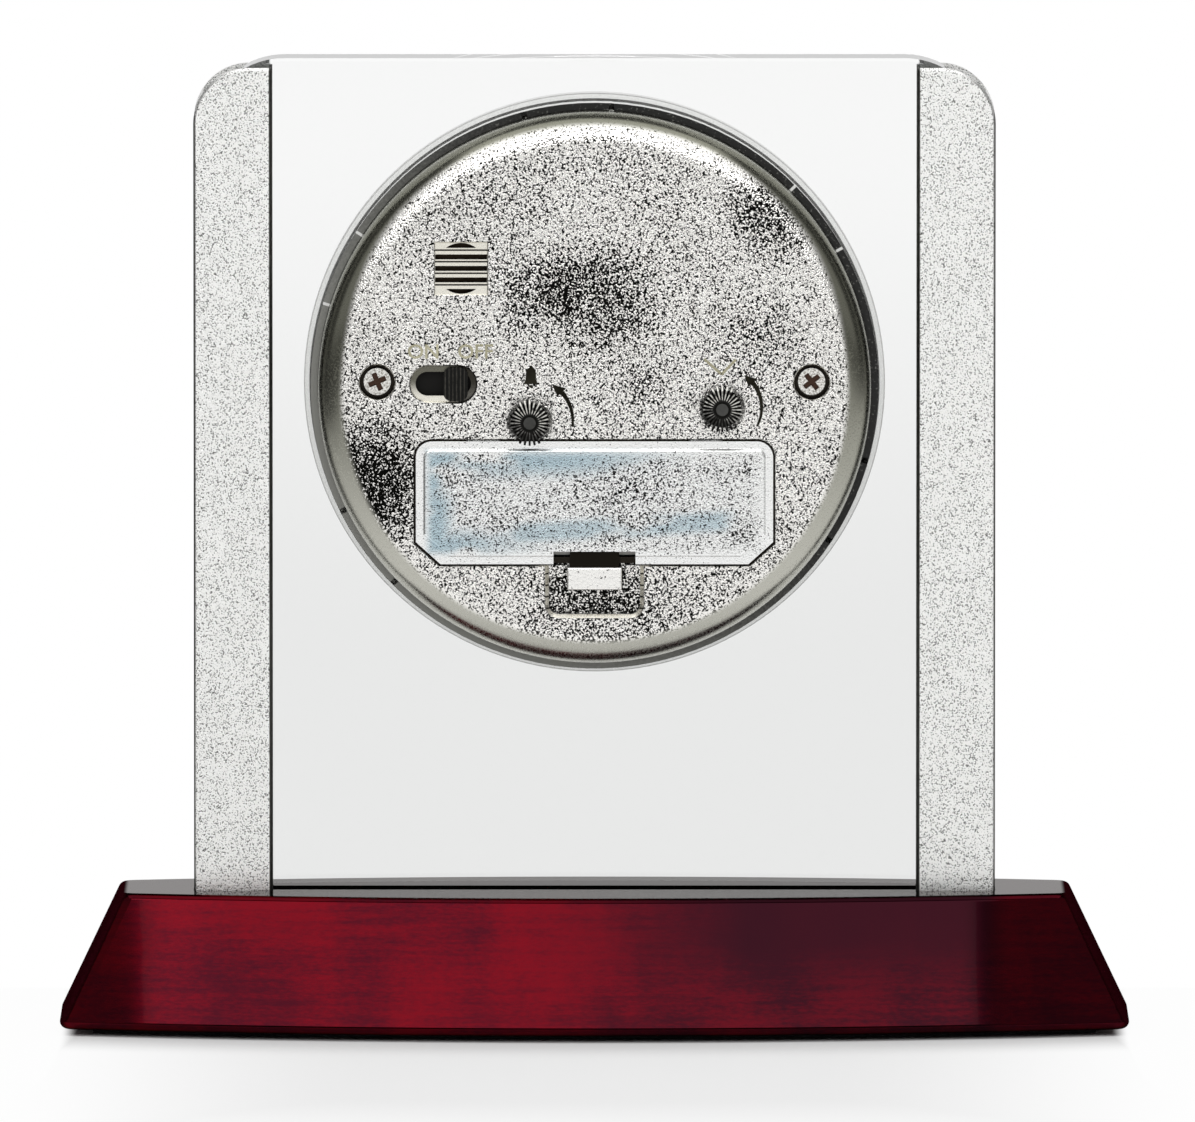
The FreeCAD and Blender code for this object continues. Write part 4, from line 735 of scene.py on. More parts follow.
@dataclass(frozen=True, kw_only=True)
class Finned(Skinned):
    """Dark plating on the knobs, with a painted highlight along the upper fins; places are in mm.
    """

    dark: Colour = (0.010, 0.010, 0.009)
    # The second colour here is a painted highlight along the upper fins.
    worn: Colour = (0.62, 0.61, 0.57)
    roughness: float = 0.21
    uneven: float = 0.1
    depth: float = 0.00001
    metallic: float = 1.0
    nearer: Ramp = Ramp(-5.1, -4.9)
    fins: int = 28
    crest: Ramp = Ramp(0.0, 0.9)
    hub: Ramp = Ramp(1.35, 1.75)
    wear: Noise = Noise(1100)
    wear_waver: float = 5.0
    worn_away: Ramp = Ramp(0.25, 0.55)
    upper: Ramp = Ramp(-2.4, 1.4, 0.05, 1.0)
    lean: float = 0.35

    def shade(self, graph: Graph) -> Signal:
        """A painted highlight in stripes along the upper fins of whichever knob is nearer.

        Args:
            graph: the tree.

        Returns:
            The shader.
        """
        across, _, above = graph.from_dial()
        nearer = self.nearer(across)
        side, rise = (place - (nearer * (alarm - time) + time)
                      for place, alarm, time in zip((across, above), ALARM_KNOB, TIME_KNOB))
        crest = self.crest(rise.bearing(side).wave(FULL_TURN / self.fins))
        # Painted highlight on the upper fin crests, broken up by noise.
        wear = self.wear(graph)
        upper = self.upper(rise - side * self.lean + wear.swing(self.wear_waver))
        share = crest * self.hub(side.reach(rise)) * upper * self.worn_away(wear)
        return self.skin(graph, graph.tint(share, self.dark, self.worn), wear)


@dataclass(frozen=True, kw_only=True)
class Ribbed(Skinned):
    """Black moulding with grip ribs, a pitch in mm apart, whose crests carry a painted highlight.
    """

    dark: Colour = (0.005, 0.005, 0.004)
    # The lit colour is a painted highlight on the rib crests.
    lit: Colour = (0.050, 0.047, 0.040)
    roughness: float = 0.40
    uneven: float = 0.1
    depth: float = 0.00001
    shine: float = 0.15
    pitch: float = 0.62
    crest: Ramp = Ramp(0.35, 1.0)
    grain: Noise = Noise(1500)
    waver: float = 1.6

    def shade(self, graph: Graph) -> Signal:
        """Painted highlights on crests across X over a faint skin.

        Args:
            graph: the tree.

        Returns:
            The shader.
        """
        across = graph.from_dial()[0]
        skin = self.grain(graph)
        # The crests are painted lit as a highlight.
        ribs = across.wave(self.pitch) + skin.swing(self.waver)
        return self.skin(graph, graph.tint(self.crest(ribs), self.dark, self.lit), skin)


@dataclass(frozen=True, kw_only=True)
class Recessed(Skinned):
    """A plated screw whose cross recess and sides below the crown are painted dark brown as
    reflection and shade; crown is in mm.
    """

    light: Colour = (0.88, 0.87, 0.83)
    dull: Colour = (0.42, 0.40, 0.36)
    # The dark colour is painted reflection and shade in the cross recess and on the sides below the
    # crown.
    dark: Colour = (0.060, 0.035, 0.025)
    roughness: float = 0.20
    uneven: float = 0.08
    depth: float = 0.00002
    metallic: float = 1.0
    crown: Ramp = Ramp(9.84, 9.94)
    haze: Noise = Noise(2600, 3, 0.65)
    hazed: Ramp = Ramp(0.42, 0.62)

    def shade(self, graph: Graph) -> Signal:
        """Bright at the crown, painted dark below it as reflection and shade.

        Args:
            graph: the tree.

        Returns:
            The shader.
        """
        haze = self.haze(graph)
        bright = graph.tint(self.hazed(haze), self.light, self.dull)
        # Below the crown the head is painted dark as reflection and shade.
        top = self.crown(graph.from_dial()[1])
        return self.skin(graph, graph.tint(top, self.dark, bright), haze)


@dataclass(frozen=True, kw_only=True)
class Flanged(Skinned):
    """The bezel, in mm: bright plating, dark where its flange ends and meets the hole."""

    light: Colour = (0.90, 0.90, 0.89)
    faded: Colour = (0.80, 0.80, 0.79)
    line: Colour = (0.06, 0.06, 0.055)
    rim: Colour = (0.55, 0.55, 0.54)
    roughness: float = 0.13
    uneven: float = 0.06
    depth: float = 0.000004
    metallic: float = 1.0
    hole: float = 46.15
    seam: Ramp = fall(0.10, 0.22)
    flange: Ramp = Ramp(46.95, 47.05)
    brushing: Noise = Noise(3300, stretch=(1.0, 6.0, 1.0))

    def shade(self, graph: Graph) -> Signal:
        """Lines by radius on a faintly brushed ring.

        Args:
            graph: the tree.

        Returns:
            The shader.
        """
        across, _, above = graph.from_dial()
        radius = across.reach(above)
        lines = self.brushing(graph)
        plating = graph.tint(self.flange(radius), graph.tint(lines, self.light, self.faded),
                             self.rim)
        seam = self.seam((radius - self.hole).absolute())
        return self.skin(graph, graph.tint(seam, plating, self.line), lines)


@dataclass(frozen=True, kw_only=True)
class Gasket(Skinned):
    """The ring in the hole: smoky plastic, painted darker on one side as shade, with slits at set
    degrees.
    """

    dark: Colour = (0.012, 0.012, 0.011)
    mid: Colour = (0.26, 0.26, 0.24)
    bright: Colour = (0.85, 0.85, 0.83)
    roughness: float = 0.35
    uneven: float = 0.1
    depth: float = 0.00002
    shine: float = 0.3
    grain: Noise = Noise(2400, 2, 0.6)
    specks: Ramp = Ramp(0.60, 0.72, 0.0, 0.6)
    lean: Point = (0.8, 0.6)
    waver: float = 30.0
    side: Ramp = Ramp(-22.0, 40.0)
    slits: tuple[float, ...] = (17.0, 33.0, 135.0, 150.8)
    slit: Ramp = Ramp(0.22, 0.36)

    def shade(self, graph: Graph) -> Signal:
        """Specks over painted shade that changes from side to side, and the slits.

        Args:
            graph: the tree.

        Returns:
            The shader.
        """
        across, _, above = graph.from_dial()
        grain = self.grain(graph)
        # One side of the ring is painted darker as shade.
        side = self.side(across * self.lean[0] - above * self.lean[1] + grain.swing(self.waver))
        body = graph.tint(side.at_least(self.specks(grain)), self.dark, self.mid)
        bearing = above.bearing(across) * math.degrees(1.0)
        away = (bearing - self.slits[0]).absolute()
        for slit in self.slits[1:]:
            away = away.at_most((bearing - slit).absolute())
        return self.skin(graph, graph.tint(self.slit(away), self.bright, body), grain)


@dataclass(frozen=True, kw_only=True)
class Lacquer(Finish):
    """Piano lacquer over stained wood: dark figure with a painted glow, under a clear coat, with
    painted light and shade along it.
    """

    light: Colour = (0.074, 0.0013, 0.0042)
    dark: Colour = (0.026, 0.0016, 0.0048)
    # The deep colours are painted shade on the darker side of the base.
    deep: Colour = (0.0210, 0.0019, 0.0044)
    deep_dark: Colour = (0.0090, 0.0016, 0.0040)
    edge_tint: Colour = (0.30, 0.285, 0.28)
    # The end colour is painted shade on the end faces.
    end_grain: Colour = (0.010, 0.0006, 0.0008)
    streaks: Noise = Noise(1.0, 5, 0.6, (70.0, 240.0, 980.0))
    figure: Noise = Noise(1.0, 4, 0.55, (38.0, 30.0, 26.0))
    pores: Noise = Noise(1.0, 2, 0.5, (900.0, 800.0, 2600.0))
    shares: Triple = (0.26, 0.56, 0.18)
    stain: Ramp = Ramp(0.37, 0.62)
    # Painted light and shade: the base is lighter towards +X and near the -X end, darker between.
    lit_side: Ramp = Ramp(-0.030, 0.022)
    side_waver: float = 0.04
    lit_end: Ramp = fall(-0.068, -0.063, 0.7)
    # A painted glow in the figure of the base's lower part.
    glow: Ramp = Ramp(0.46, 0.62, 0.0, 0.42)
    glow_height: Ramp = fall(0.005, 0.017)
    roughness: float = 0.075
    uneven: float = 0.02
    coat: float = 0.03
    coat_roughness: float = 0.02
    coat_index: float = 1.5
    end_roughness: float = 0.5
    end_uneven: float = 0.1
    end_shine: float = 0.0
    end_foot: float = 0.001
    end_lean: float = 10.4 / 22
    sawn: Ramp = Ramp(0.0861, 0.0869)

    def shade(self, graph: Graph) -> Signal:
        """Streaks along the wood over slow mottling, with painted light and shade along the base;
        the end faces are dull and painted dark as shade.

        Args:
            graph: the tree.

        Returns:
            The shader.
        """
        streaks, figure, pores = (noise(graph) for noise in
                                  (self.streaks, self.figure, self.pores))
        wood = sum(noise * share for noise, share in zip((streaks, figure, pores), self.shares))
        across, _, above = graph.axes()
        # Painted light and shade along the base, and a painted glow low on its darker side.
        side = self.lit_side(across + figure.swing(self.side_waver))
        painted_shade_ground = graph.tint(self.glow(wood) * self.glow_height(above),
                            graph.tint(figure, self.deep_dark, self.deep), self.light)
        stain = graph.tint(self.stain(wood), self.dark, self.light)
        body = graph.surface({
            "Base Color": graph.tint(side.at_least(self.lit_end(across)), painted_shade_ground, stain),
            "Metallic": 1.0,
            "Specular Tint": opaque(self.edge_tint),
            "Roughness": self.roughness + streaks.swing(self.uneven),
            "Coat Weight": self.coat,
            "Coat Roughness": self.coat_roughness,
            "Coat IOR": self.coat_index})
        ends = graph.surface({
            "Base Color": graph.tint(pores, self.end_grain, self.dark),
            "Roughness": self.end_roughness + pores.swing(self.end_uneven),
            "Specular IOR Level": self.end_shine})
        # The end faces get the painted shade.
        out = across.absolute() + (above - self.end_foot) * self.end_lean
        return graph.mixed(self.sawn(out), body, ends)


@dataclass(frozen=True, kw_only=True)
class Felt(Finish):
    """Black felt: short crossed fibres with a soft sheen."""

    colour: Colour = (0.012, 0.012, 0.013)
    lint: Colour = (0.05, 0.05, 0.052)
    along: Noise = Noise(1.0, 3, 0.7, (600.0, 3000.0, 1500.0))
    across: Noise = Noise(1.0, 3, 0.7, (3000.0, 600.0, 1500.0))
    raised: Ramp = Ramp(0.5, 0.75)
    depth: float = 0.0002
    roughness: float = 0.95
    sheen: float = 0.4
    sheen_roughness: float = 0.5

    def shade(self, graph: Graph) -> Signal:
        """Fibres in two directions.

        Args:
            graph: the tree.

        Returns:
            The shader.
        """
        fibres = self.along(graph).at_least(self.across(graph))
        return graph.surface({
            "Base Color": graph.tint(self.raised(fibres), self.colour, self.lint),
            "Roughness": self.roughness,
            "Sheen Weight": self.sheen,
            "Sheen Roughness": self.sheen_roughness,
            "Normal": graph.bump(fibres, self.depth)})


@dataclass(frozen=True, kw_only=True)
class Clear(Finish):
    """Clear glass or plastic that lets light through to what lies behind it."""

    colour: Colour = (0.985, 0.992, 0.988)
    index: float = 1.49
    cloud: Noise = Noise(40)
    clouded: float = 0.995
    smear: Noise = Noise(60, 3)
    smeared: float = 0.004

    def cast(self, graph: Graph) -> Signal:
        """The colour of the glass, with the faintest clouding."""
        faint = tuple(part * self.clouded for part in self.colour)
        return graph.tint(self.cloud(graph), self.colour, faint)

    def shade(self, graph: Graph) -> Signal:
        """Glass with the faintest unevenness; shadow rays pass through it.

        Args:
            graph: the tree.

        Returns:
            The shader.
        """
        body = graph.surface({
            "Base Color": self.cast(graph),
            "Roughness": self.smear(graph) * self.smeared,
            "IOR": self.index,
            "Transmission Weight": 1.0})
        through = graph.add("ShaderNodeBsdfTransparent", {}, {"Color": opaque(self.colour)})["BSDF"]
        return graph.mixed(graph.rays("Is Shadow Ray"), body, through)


@dataclass(frozen=True, kw_only=True)
class Panel(Clear):
    """The standing panel, painted greyer towards the base and dark in its corners over the posts,
    as shade.
    """

    colour: Colour = (0.925, 0.928, 0.925)
    # The low and corner colours are painted shade.
    low: Colour = (0.80, 0.805, 0.80)
    corner: Colour = (0.30, 0.31, 0.30)
    clearing: Ramp = Ramp(0.060, 0.150)
    corner_across: Ramp = Ramp(0.0524, 0.0528)
    corner_above: Ramp = Ramp(0.1500, 0.1510)

    def cast(self, graph: Graph) -> Signal:
        """The colour by height and in the corners, with painted shade.

        Args:
            graph: the tree.

        Returns:
            The colour.
        """
        across, _, above = graph.axes()
        # Painted shade: greyer towards the base, dark in the top corners over the posts.
        body = graph.tint(self.clearing(above), self.low, self.colour)
        corner = self.corner_across(across.absolute()) * self.corner_above(above)
        return graph.tint(corner, body, self.corner)


@dataclass(frozen=True, kw_only=True)
class Winding(Skinned):
    """Enamelled copper wire laid in turns across the coil."""

    colour: Colour = (0.62, 0.22, 0.08)
    # The groove colour is painted shade between the turns.
    groove: Colour = (0.20, 0.06, 0.02)
    roughness: float = 0.43
    uneven: float = 0.1
    depth: float = 0.00003
    metallic: float = 0.8
    pitch: float = 0.00016
    stain: Noise = Noise(400, 3)
    shares: Point = (0.7, 0.3)

    def shade(self, graph: Graph) -> Signal:
        """Turns as fine grooves along X, with painted shade in the grooves.

        Args:
            graph: the tree.

        Returns:
            The shader.
        """
        turns = (graph.axes()[0] * (FULL_TURN / self.pitch)).sine().share()
        stain = self.stain(graph)
        colour = graph.tint(turns * self.shares[0] + stain * self.shares[1], self.groove,
                            self.colour)
        return self.skin(graph, colour, turns, stain)


@dataclass(frozen=True, kw_only=True)
class Laminate(Skinned):
    """Circuit board: green mask over faint woven cloth."""

    colour: Colour = (0.02, 0.16, 0.06)
    weave: Colour = (0.05, 0.24, 0.10)
    roughness: float = 0.375
    uneven: float = 0.15
    depth: float = 0.00001
    threads: float = 6000.0
    stain: Noise = Noise(120, 4)
    shares: Point = (0.5, 0.4)

    def shade(self, graph: Graph) -> Signal:
        """A weave of two crossed waves.

        Args:
            graph: the tree.

        Returns:
            The shader.
        """
        across, _, above = graph.axes()
        cloth = ((across * self.threads).sine() * (above * self.threads).sine()).share()
        stain = self.stain(graph)
        colour = graph.tint(cloth * self.shares[0] + stain * self.shares[1], self.colour,
                            self.weave)
        return self.skin(graph, colour, cloth, stain)


@dataclass(frozen=True, kw_only=True)
class Print(Finish):
    """Printing ink, slightly uneven in its depth."""

    colour: Colour = (0.015, 0.015, 0.016)
    faded: Colour = (0.035, 0.035, 0.036)
    mottle: Noise = Noise(1500, 3)
    roughness: float = 0.55
    uneven: float = 0.2

    def shade(self, graph: Graph) -> Signal:
        """Ink with a faint mottle.

        Args:
            graph: the tree.

        Returns:
            The shader.
        """
        mottle = self.mottle(graph)
        return graph.surface({
            "Base Color": graph.tint(mottle, self.colour, self.faded),
            "Roughness": self.roughness + mottle.swing(self.uneven)})


@dataclass(frozen=True, kw_only=True)
class Paper(Finish):
    """The floor: shaded paper round the base, plain white away from it and in mirrors."""

    colour: Colour = (0.80, 0.80, 0.80)
    base_rear: float = 0.0237
    base_bow: float = 1.57
    base_end: float = 0.0840
    close: Ramp = Ramp(0.0, 0.024)
    close_share: Ramp = Ramp(0.035, 0.096, 0.46, 0.96)
    end_sharpness: Ramp = Ramp(0.018, 0.14, 357.0, 19.0)
    beyond: Ramp = Ramp(0.0, 1.0, 0.0, 0.96)
    far: Ramp = Ramp(0.0, 0.175)
    front: Ramp = fall(-0.06, -0.03)
    lit_right: Ramp = fall(0.30, 0.55, 1.0, 0.10)
    lit_left: Ramp = Ramp(-1.1, -0.6, 0.2, 1.0)

    def shade(self, graph: Graph) -> Signal:
        """Paper that turns to light by its distance from the base.

        Args:
            graph: the tree.

        Returns:
            The shader.
        """
        across, along, _ = graph.axes()
        beside = across.absolute()
        ahead = along - (self.base_rear - across * across * self.base_bow)
        outward = (beside - self.base_end) * self.end_sharpness(along.absolute())
        away = (self.close(ahead) * self.close_share(beside)).at_least(
            self.beyond(outward)).at_least(self.far(ahead)).at_least(self.front(along))
        seen = graph.rays("Is Camera Ray", "Is Transmission Ray")
        lit = self.lit_right(across) * self.lit_left(across)
        paper = graph.add("ShaderNodeBsdfDiffuse", {}, {"Color": opaque(self.colour)})["BSDF"]
        light = graph.add("ShaderNodeEmission", {}, {"Color": opaque(PLAIN_WHITE),
                                                     "Strength": seen.or_else(lit)})["Emission"]
        return graph.mixed(away * seen.at_least(graph.rays("Is Glossy Ray")), paper, light)


LACQUER = Lacquer("piano_lacquer")
FELT = Felt("black_felt")
GLASS = Panel("panel_glass")
WINDOW = Clear("window_glass", index=1.5)
GRIP = Gasket("grip_plastic")
SILVER = Sparkle("sparkle_silver")
CASE = CaseGrain("grained_plating")
DOOR = DoorGrain("door_plating")
TAB = TabGrain("tab_plating")
KNOBS = Finned("knob_plating")
BEZEL = Flanged("bezel_plating")
SCREW = Recessed("screw_plating")
SLIDER = Ribbed("slider_moulding")
COPPER = Winding("copper_winding")
BOARD = Laminate("board_laminate")
INK = Print("dial_ink")
SIGNS = Metal("sign_plating", colour=(0.62, 0.59, 0.43), dull=(0.40, 0.38, 0.27), roughness=0.2)
DARK_SIGNS = Metal("dark_sign_plating", colour=(0.030, 0.028, 0.020),
                   dull=(0.012, 0.011, 0.008), roughness=0.3)
DARK_STEEL = Metal("blued_steel", colour=(0.095, 0.095, 0.09), dull=(0.045, 0.045, 0.042),
                   roughness=0.3)
# The buzzer disc is darkened as painted shade behind the grille's slots.
BUZZER = Metal("dulled_brass", colour=(0.045, 0.034, 0.024), dull=(0.018, 0.014, 0.010),
               roughness=0.4)
STEEL = Metal("bright_steel", colour=(0.80, 0.80, 0.80), dull=(0.62, 0.62, 0.61),
              roughness=0.22, stretch=(1.0, 1.0, 8.0))
IRON = Metal("soft_iron", colour=(0.50, 0.49, 0.48), dull=(0.34, 0.33, 0.32),
             roughness=0.35, stretch=(1.0, 1.0, 10.0))
BRASS = Metal("rolled_brass", colour=(0.83, 0.62, 0.28), dull=(0.64, 0.45, 0.19),
              roughness=0.24, stretch=(1.0, 1.0, 8.0))
MAGNET = Metal("sintered_magnet", colour=(0.16, 0.16, 0.17), dull=(0.09, 0.09, 0.10),
               roughness=0.45, grain=0.0001)
WHITE = Moulded("white_moulding", colour=(0.80, 0.79, 0.75), shade_colour=(0.72, 0.71, 0.66),
                roughness=0.45)
NYLON = Moulded("wheel_nylon", colour=(0.86, 0.82, 0.70), shade_colour=(0.76, 0.71, 0.57),
                roughness=0.4)
BLACK = Moulded("black_moulding", colour=(0.006, 0.0055, 0.005),
                shade_colour=(0.011, 0.010, 0.009), roughness=0.35, grain=0.0004, shine=0.12)
RESIN = Moulded("black_resin", colour=(0.010, 0.010, 0.011), shade_colour=(0.02, 0.02, 0.021),
                roughness=0.2, grain=0.0009)
DIAL_PAINT = Moulded("dial_paint", colour=(0.93, 0.93, 0.91), shade_colour=(0.90, 0.90, 0.88),
                     roughness=0.5, grain=0.0003)
BLACK_PAINT = Moulded("black_hand_paint", colour=(0.010, 0.010, 0.010),
                      shade_colour=(0.018, 0.018, 0.018), roughness=0.3)
RED_PAINT = Moulded("red_hand_paint", colour=(0.45, 0.018, 0.014),
                    shade_colour=(0.36, 0.012, 0.010), roughness=0.3)
GOLD_PAINT = Moulded("gold_hand_paint", colour=(0.62, 0.44, 0.16),
                     shade_colour=(0.50, 0.34, 0.11), roughness=0.3)


# ------------------------------------------------------------------ piece making
class View(Enum):
    """The side that a flat drawing is read from."""

    FRONT = Matrix(((1, 0, 0), (0, 0, -1), (0, 1, 0))).to_4x4()
    BACK = Matrix(((-1, 0, 0), (0, 0, 1), (0, 1, 0))).to_4x4()


def on_insert(across: float, deep: float, above: float) -> Triple:
    """A place in metres from one on the insert in mm."""
    return across * MM, deep * MM, above * MM + DIAL_MIDDLE


def linked(name: str, data: bpy.types.ID) -> bpy.types.Object:
    """Puts a mesh, curve, lamp or camera in the scene as an object at the origin.

    Args:
        name: the object's name.
        data: what it shows.

    Returns:
        The object.
    """
    piece = bpy.data.objects.new(name, data)
    bpy.context.scene.collection.objects.link(piece)
    return piece


def evaluated(piece: bpy.types.Object) -> bpy.types.Mesh:
    """The plain mesh that a piece evaluates to."""
    graph = bpy.context.evaluated_depsgraph_get()
    return bpy.data.meshes.new_from_object(piece.evaluated_get(graph))


def from_work(name: str, work: bmesh.types.BMesh) -> bpy.types.Object:
    """Turns finished mesh work into a piece.

    Args:
        name: the piece's name.
        work: the mesh work, which is freed.

    Returns:
        The piece.
    """
    mesh = bpy.data.meshes.new(name)
    work.to_mesh(mesh)
    work.free()
    return linked(name, mesh)


def paint(piece: bpy.types.Object, finish: Finish) -> None:
    """Gives a piece or CAD node one finish all over."""
    piece.data.materials.clear()
    piece.data.materials.append(finish.material())


def settle(piece: bpy.types.Object, finish: Finish, body: str) -> None:
    """Gives a finished piece its material and body.

    Args:
        piece: the piece, in place.
        finish: its finish.
        body: the body that it rides on.
    """
    paint(piece, finish)
    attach(piece, body)
    log.info("%s: %d faces on %s", piece.name, len(piece.data.polygons), body)


def prisms(name: str, outlines: Sequence[Outline], low: float, high: float) -> bpy.types.Object:
    """Solid prisms along Y over flat (x, z) outlines.

    Args:
        name: the piece's name.
        outlines: closed outlines in metres.
        low: the lower depth.
        high: the upper depth.

    Returns:
        The piece.
    """
    work = bmesh.new()
    for outline in outlines:
        near, far = ([work.verts.new((x, depth, z)) for x, z in outline] for depth in (low, high))
        work.faces.new(near)
        work.faces.new(far)
        for rank in range(len(near)):
            following = (rank + 1) % len(near)
            work.faces.new((near[rank], near[following], far[following], far[rank]))
    bmesh.ops.recalc_face_normals(work, faces=work.faces)
    return from_work(name, work)


def stroke(points: Sequence[Point], width: float, last: float) -> list[Outline]:
    """The quads of a line whose width changes steadily.

    Args:
        points: the line's points.
        width: its width at the first point.
        last: its width at the last point.

    Returns:
        One outline for each stretch.
    """
    quads = []
    growth = (last - width) / (len(points) - 1)
    for rank, (start, end) in enumerate(zip(points, points[1:])):
        along = Vector(end) - Vector(start)
        across = Vector((-along.y, along.x)).normalized()
        near, far = (across * (width + growth * place) / 2 for place in (rank, rank + 1))
        quads.append([tuple(Vector(start) + near), tuple(Vector(end) + far),
                      tuple(Vector(end) - far), tuple(Vector(start) - near)])
    return quads


def arc(middle: Point, radius: float, start: float, end: float, count: int) -> Outline:
    """Points along an arc.

    Args:
        middle: its middle.
        radius: its radius.
        start: angle of the first point in degrees from +X.
        end: angle of the last point.
        count: number of stretches.

    Returns:
        The points.
    """
    angles = [math.radians(start + (end - start) * rank / count) for rank in range(count + 1)]
    return [(middle[0] + radius * math.cos(angle), middle[1] + radius * math.sin(angle))
            for angle in angles]


def lettered(name: str, text: str, size: float, place: Triple, view: View,
             thickness: float, weight: float = 0.0) -> bpy.types.Object:
    """Letters as a mesh that stands in its place.

    Args:
        name: the piece's name.
        text: what it says.
        size: the font's size.
        place: the middle of the text.
        view: the side that it is read from.
        thickness: how thick the letters are.
        weight: how much bolder the strokes are, as a share of the size.

    Returns:
        The piece.
    """
    curve = bpy.data.curves.new(name, "FONT")
    curve.body = text
    curve.size = size
    curve.extrude = thickness / 2
    curve.offset = size * weight
    curve.resolution_u = LETTER_STEPS
    curve.align_x = curve.align_y = "CENTER"
    holder = linked(name + "_text", curve)
    mesh = evaluated(holder)
    bpy.data.objects.remove(holder)
    mesh.transform(Matrix.Translation(place) @ view.value)
    return linked(name, mesh)


def joined(name: str, parts: Sequence[bpy.types.Object]) -> bpy.types.Object:
    """One piece from several; the parts are removed.

    Args:
        name: the new piece's name.
        parts: pieces at the origin.

    Returns:
        The piece.
    """
    work = bmesh.new()
    for part in parts:
        work.from_mesh(part.data)
        bpy.data.objects.remove(part)
    return from_work(name, work)


class Pattern:
    """A Geometry Nodes tree for what repeats, with named inputs."""

    def __init__(self, name: str, **inputs: str) -> None:
        """Makes an empty tree.

        Args:
            name: the tree's name.
            **inputs: kind of each named input, such as Float for NodeSocketFloat.
        """
        self.tree = bpy.data.node_groups.new(name, "GeometryNodeTree")
        self.graph = Graph(self.tree)
        for label, kind in (inputs | {"Finish": "Material"}).items():
            self.tree.interface.new_socket(label, in_out="INPUT", socket_type="NodeSocket" + kind)
        self.tree.interface.new_socket("Geometry", in_out="OUTPUT",
                                       socket_type="NodeSocketGeometry")
        self.inputs = self.graph.add("NodeGroupInput")

    def solid(self, kind: str, sockets: Sockets, fill: Optional[str] = None) -> Signal:
        """A primitive's mesh.

        Args:
            kind: Cube, Cone, Cylinder, Circle or Line.
            sockets: its sizes.
            fill: how its ends are closed, where it has ends.

        Returns:
            The mesh.
        """
        settings = {"fill_type": fill} if fill else {}
        return self.graph.add("GeometryNodeMesh" + kind, settings, sockets)["Mesh"]

    def upward(self, height: Signal) -> Signal:
        """The vector (0, 0, height)."""
        return self.graph.add("ShaderNodeCombineXYZ", {}, {"Z": height})["Vector"]

    def moved(self, geometry: Signal, **sockets: Any) -> Signal:
        """The geometry after the named Translation, Rotation or Scale."""
        return self.graph.add("GeometryNodeTransform", {},
                              {"Geometry": geometry, **sockets})["Geometry"]

    def close(self, points: Signal, instance: Signal, turn: Signal, tip: float) -> None:
        """Sets an instance on each point, tips the whole, realizes it and ends the tree.

        Args:
            points: the points.
            instance: what stands on each of them.
            turn: its angle about Z.
            tip: the whole's angle about X.
        """
        spread = self.graph.add("GeometryNodeInstanceOnPoints", {}, {
            "Points": points, "Instance": instance, "Rotation": self.upward(turn)})["Instances"]
        upright = self.moved(spread, Translation=self.inputs["Place"],
                             Rotation=(tip, 0.0, 0.0))
        real = self.graph.add("GeometryNodeRealizeInstances", {}, {"Geometry": upright})
        dressed = self.graph.add("GeometryNodeSetMaterial", {}, {
            "Geometry": real["Geometry"], "Material": self.inputs["Finish"]})
        self.graph.add("NodeGroupOutput", {}, {"Geometry": dressed["Geometry"]})

    def grow(self, name: str, finish: Finish, **values: Any) -> bpy.types.Object:
        """Evaluates the tree once and keeps the result as a plain mesh.

        Args:
            name: the piece's name.
            finish: its finish.
            **values: the other inputs by name.

        Returns:
            The piece.
        """
        values["Finish"] = finish.material()
        holder = linked(name, bpy.data.meshes.new(name + "_seed"))
        modifier = holder.modifiers.new("pattern", "NODES")
        modifier.node_group = self.tree
        for item in self.tree.interface.items_tree:
            if item.in_out == "INPUT":
                modifier[item.identifier] = values[item.name]
        mesh = evaluated(holder)
        holder.modifiers.remove(modifier)
        holder.data = mesh
        return holder


class MarkRing(Pattern):
    """Bars set in a circle that faces the front."""

    def __init__(self) -> None:
        """Builds the tree: a bar on each point of a circle, turned to its middle."""
        super().__init__("ring_of_marks", Count="Int", Radius="Float", Bar="Vector",
                         Place="Vector")
        count = self.inputs["Count"]
        circle = self.solid("Circle", {"Vertices": count, "Radius": self.inputs["Radius"]})
        bar = self.solid("Cube", {"Size": self.inputs["Bar"]})
        turn = self.graph.add("GeometryNodeInputIndex")["Index"] * FULL_TURN / count
        self.close(circle, bar, turn, QUARTER_TURN)


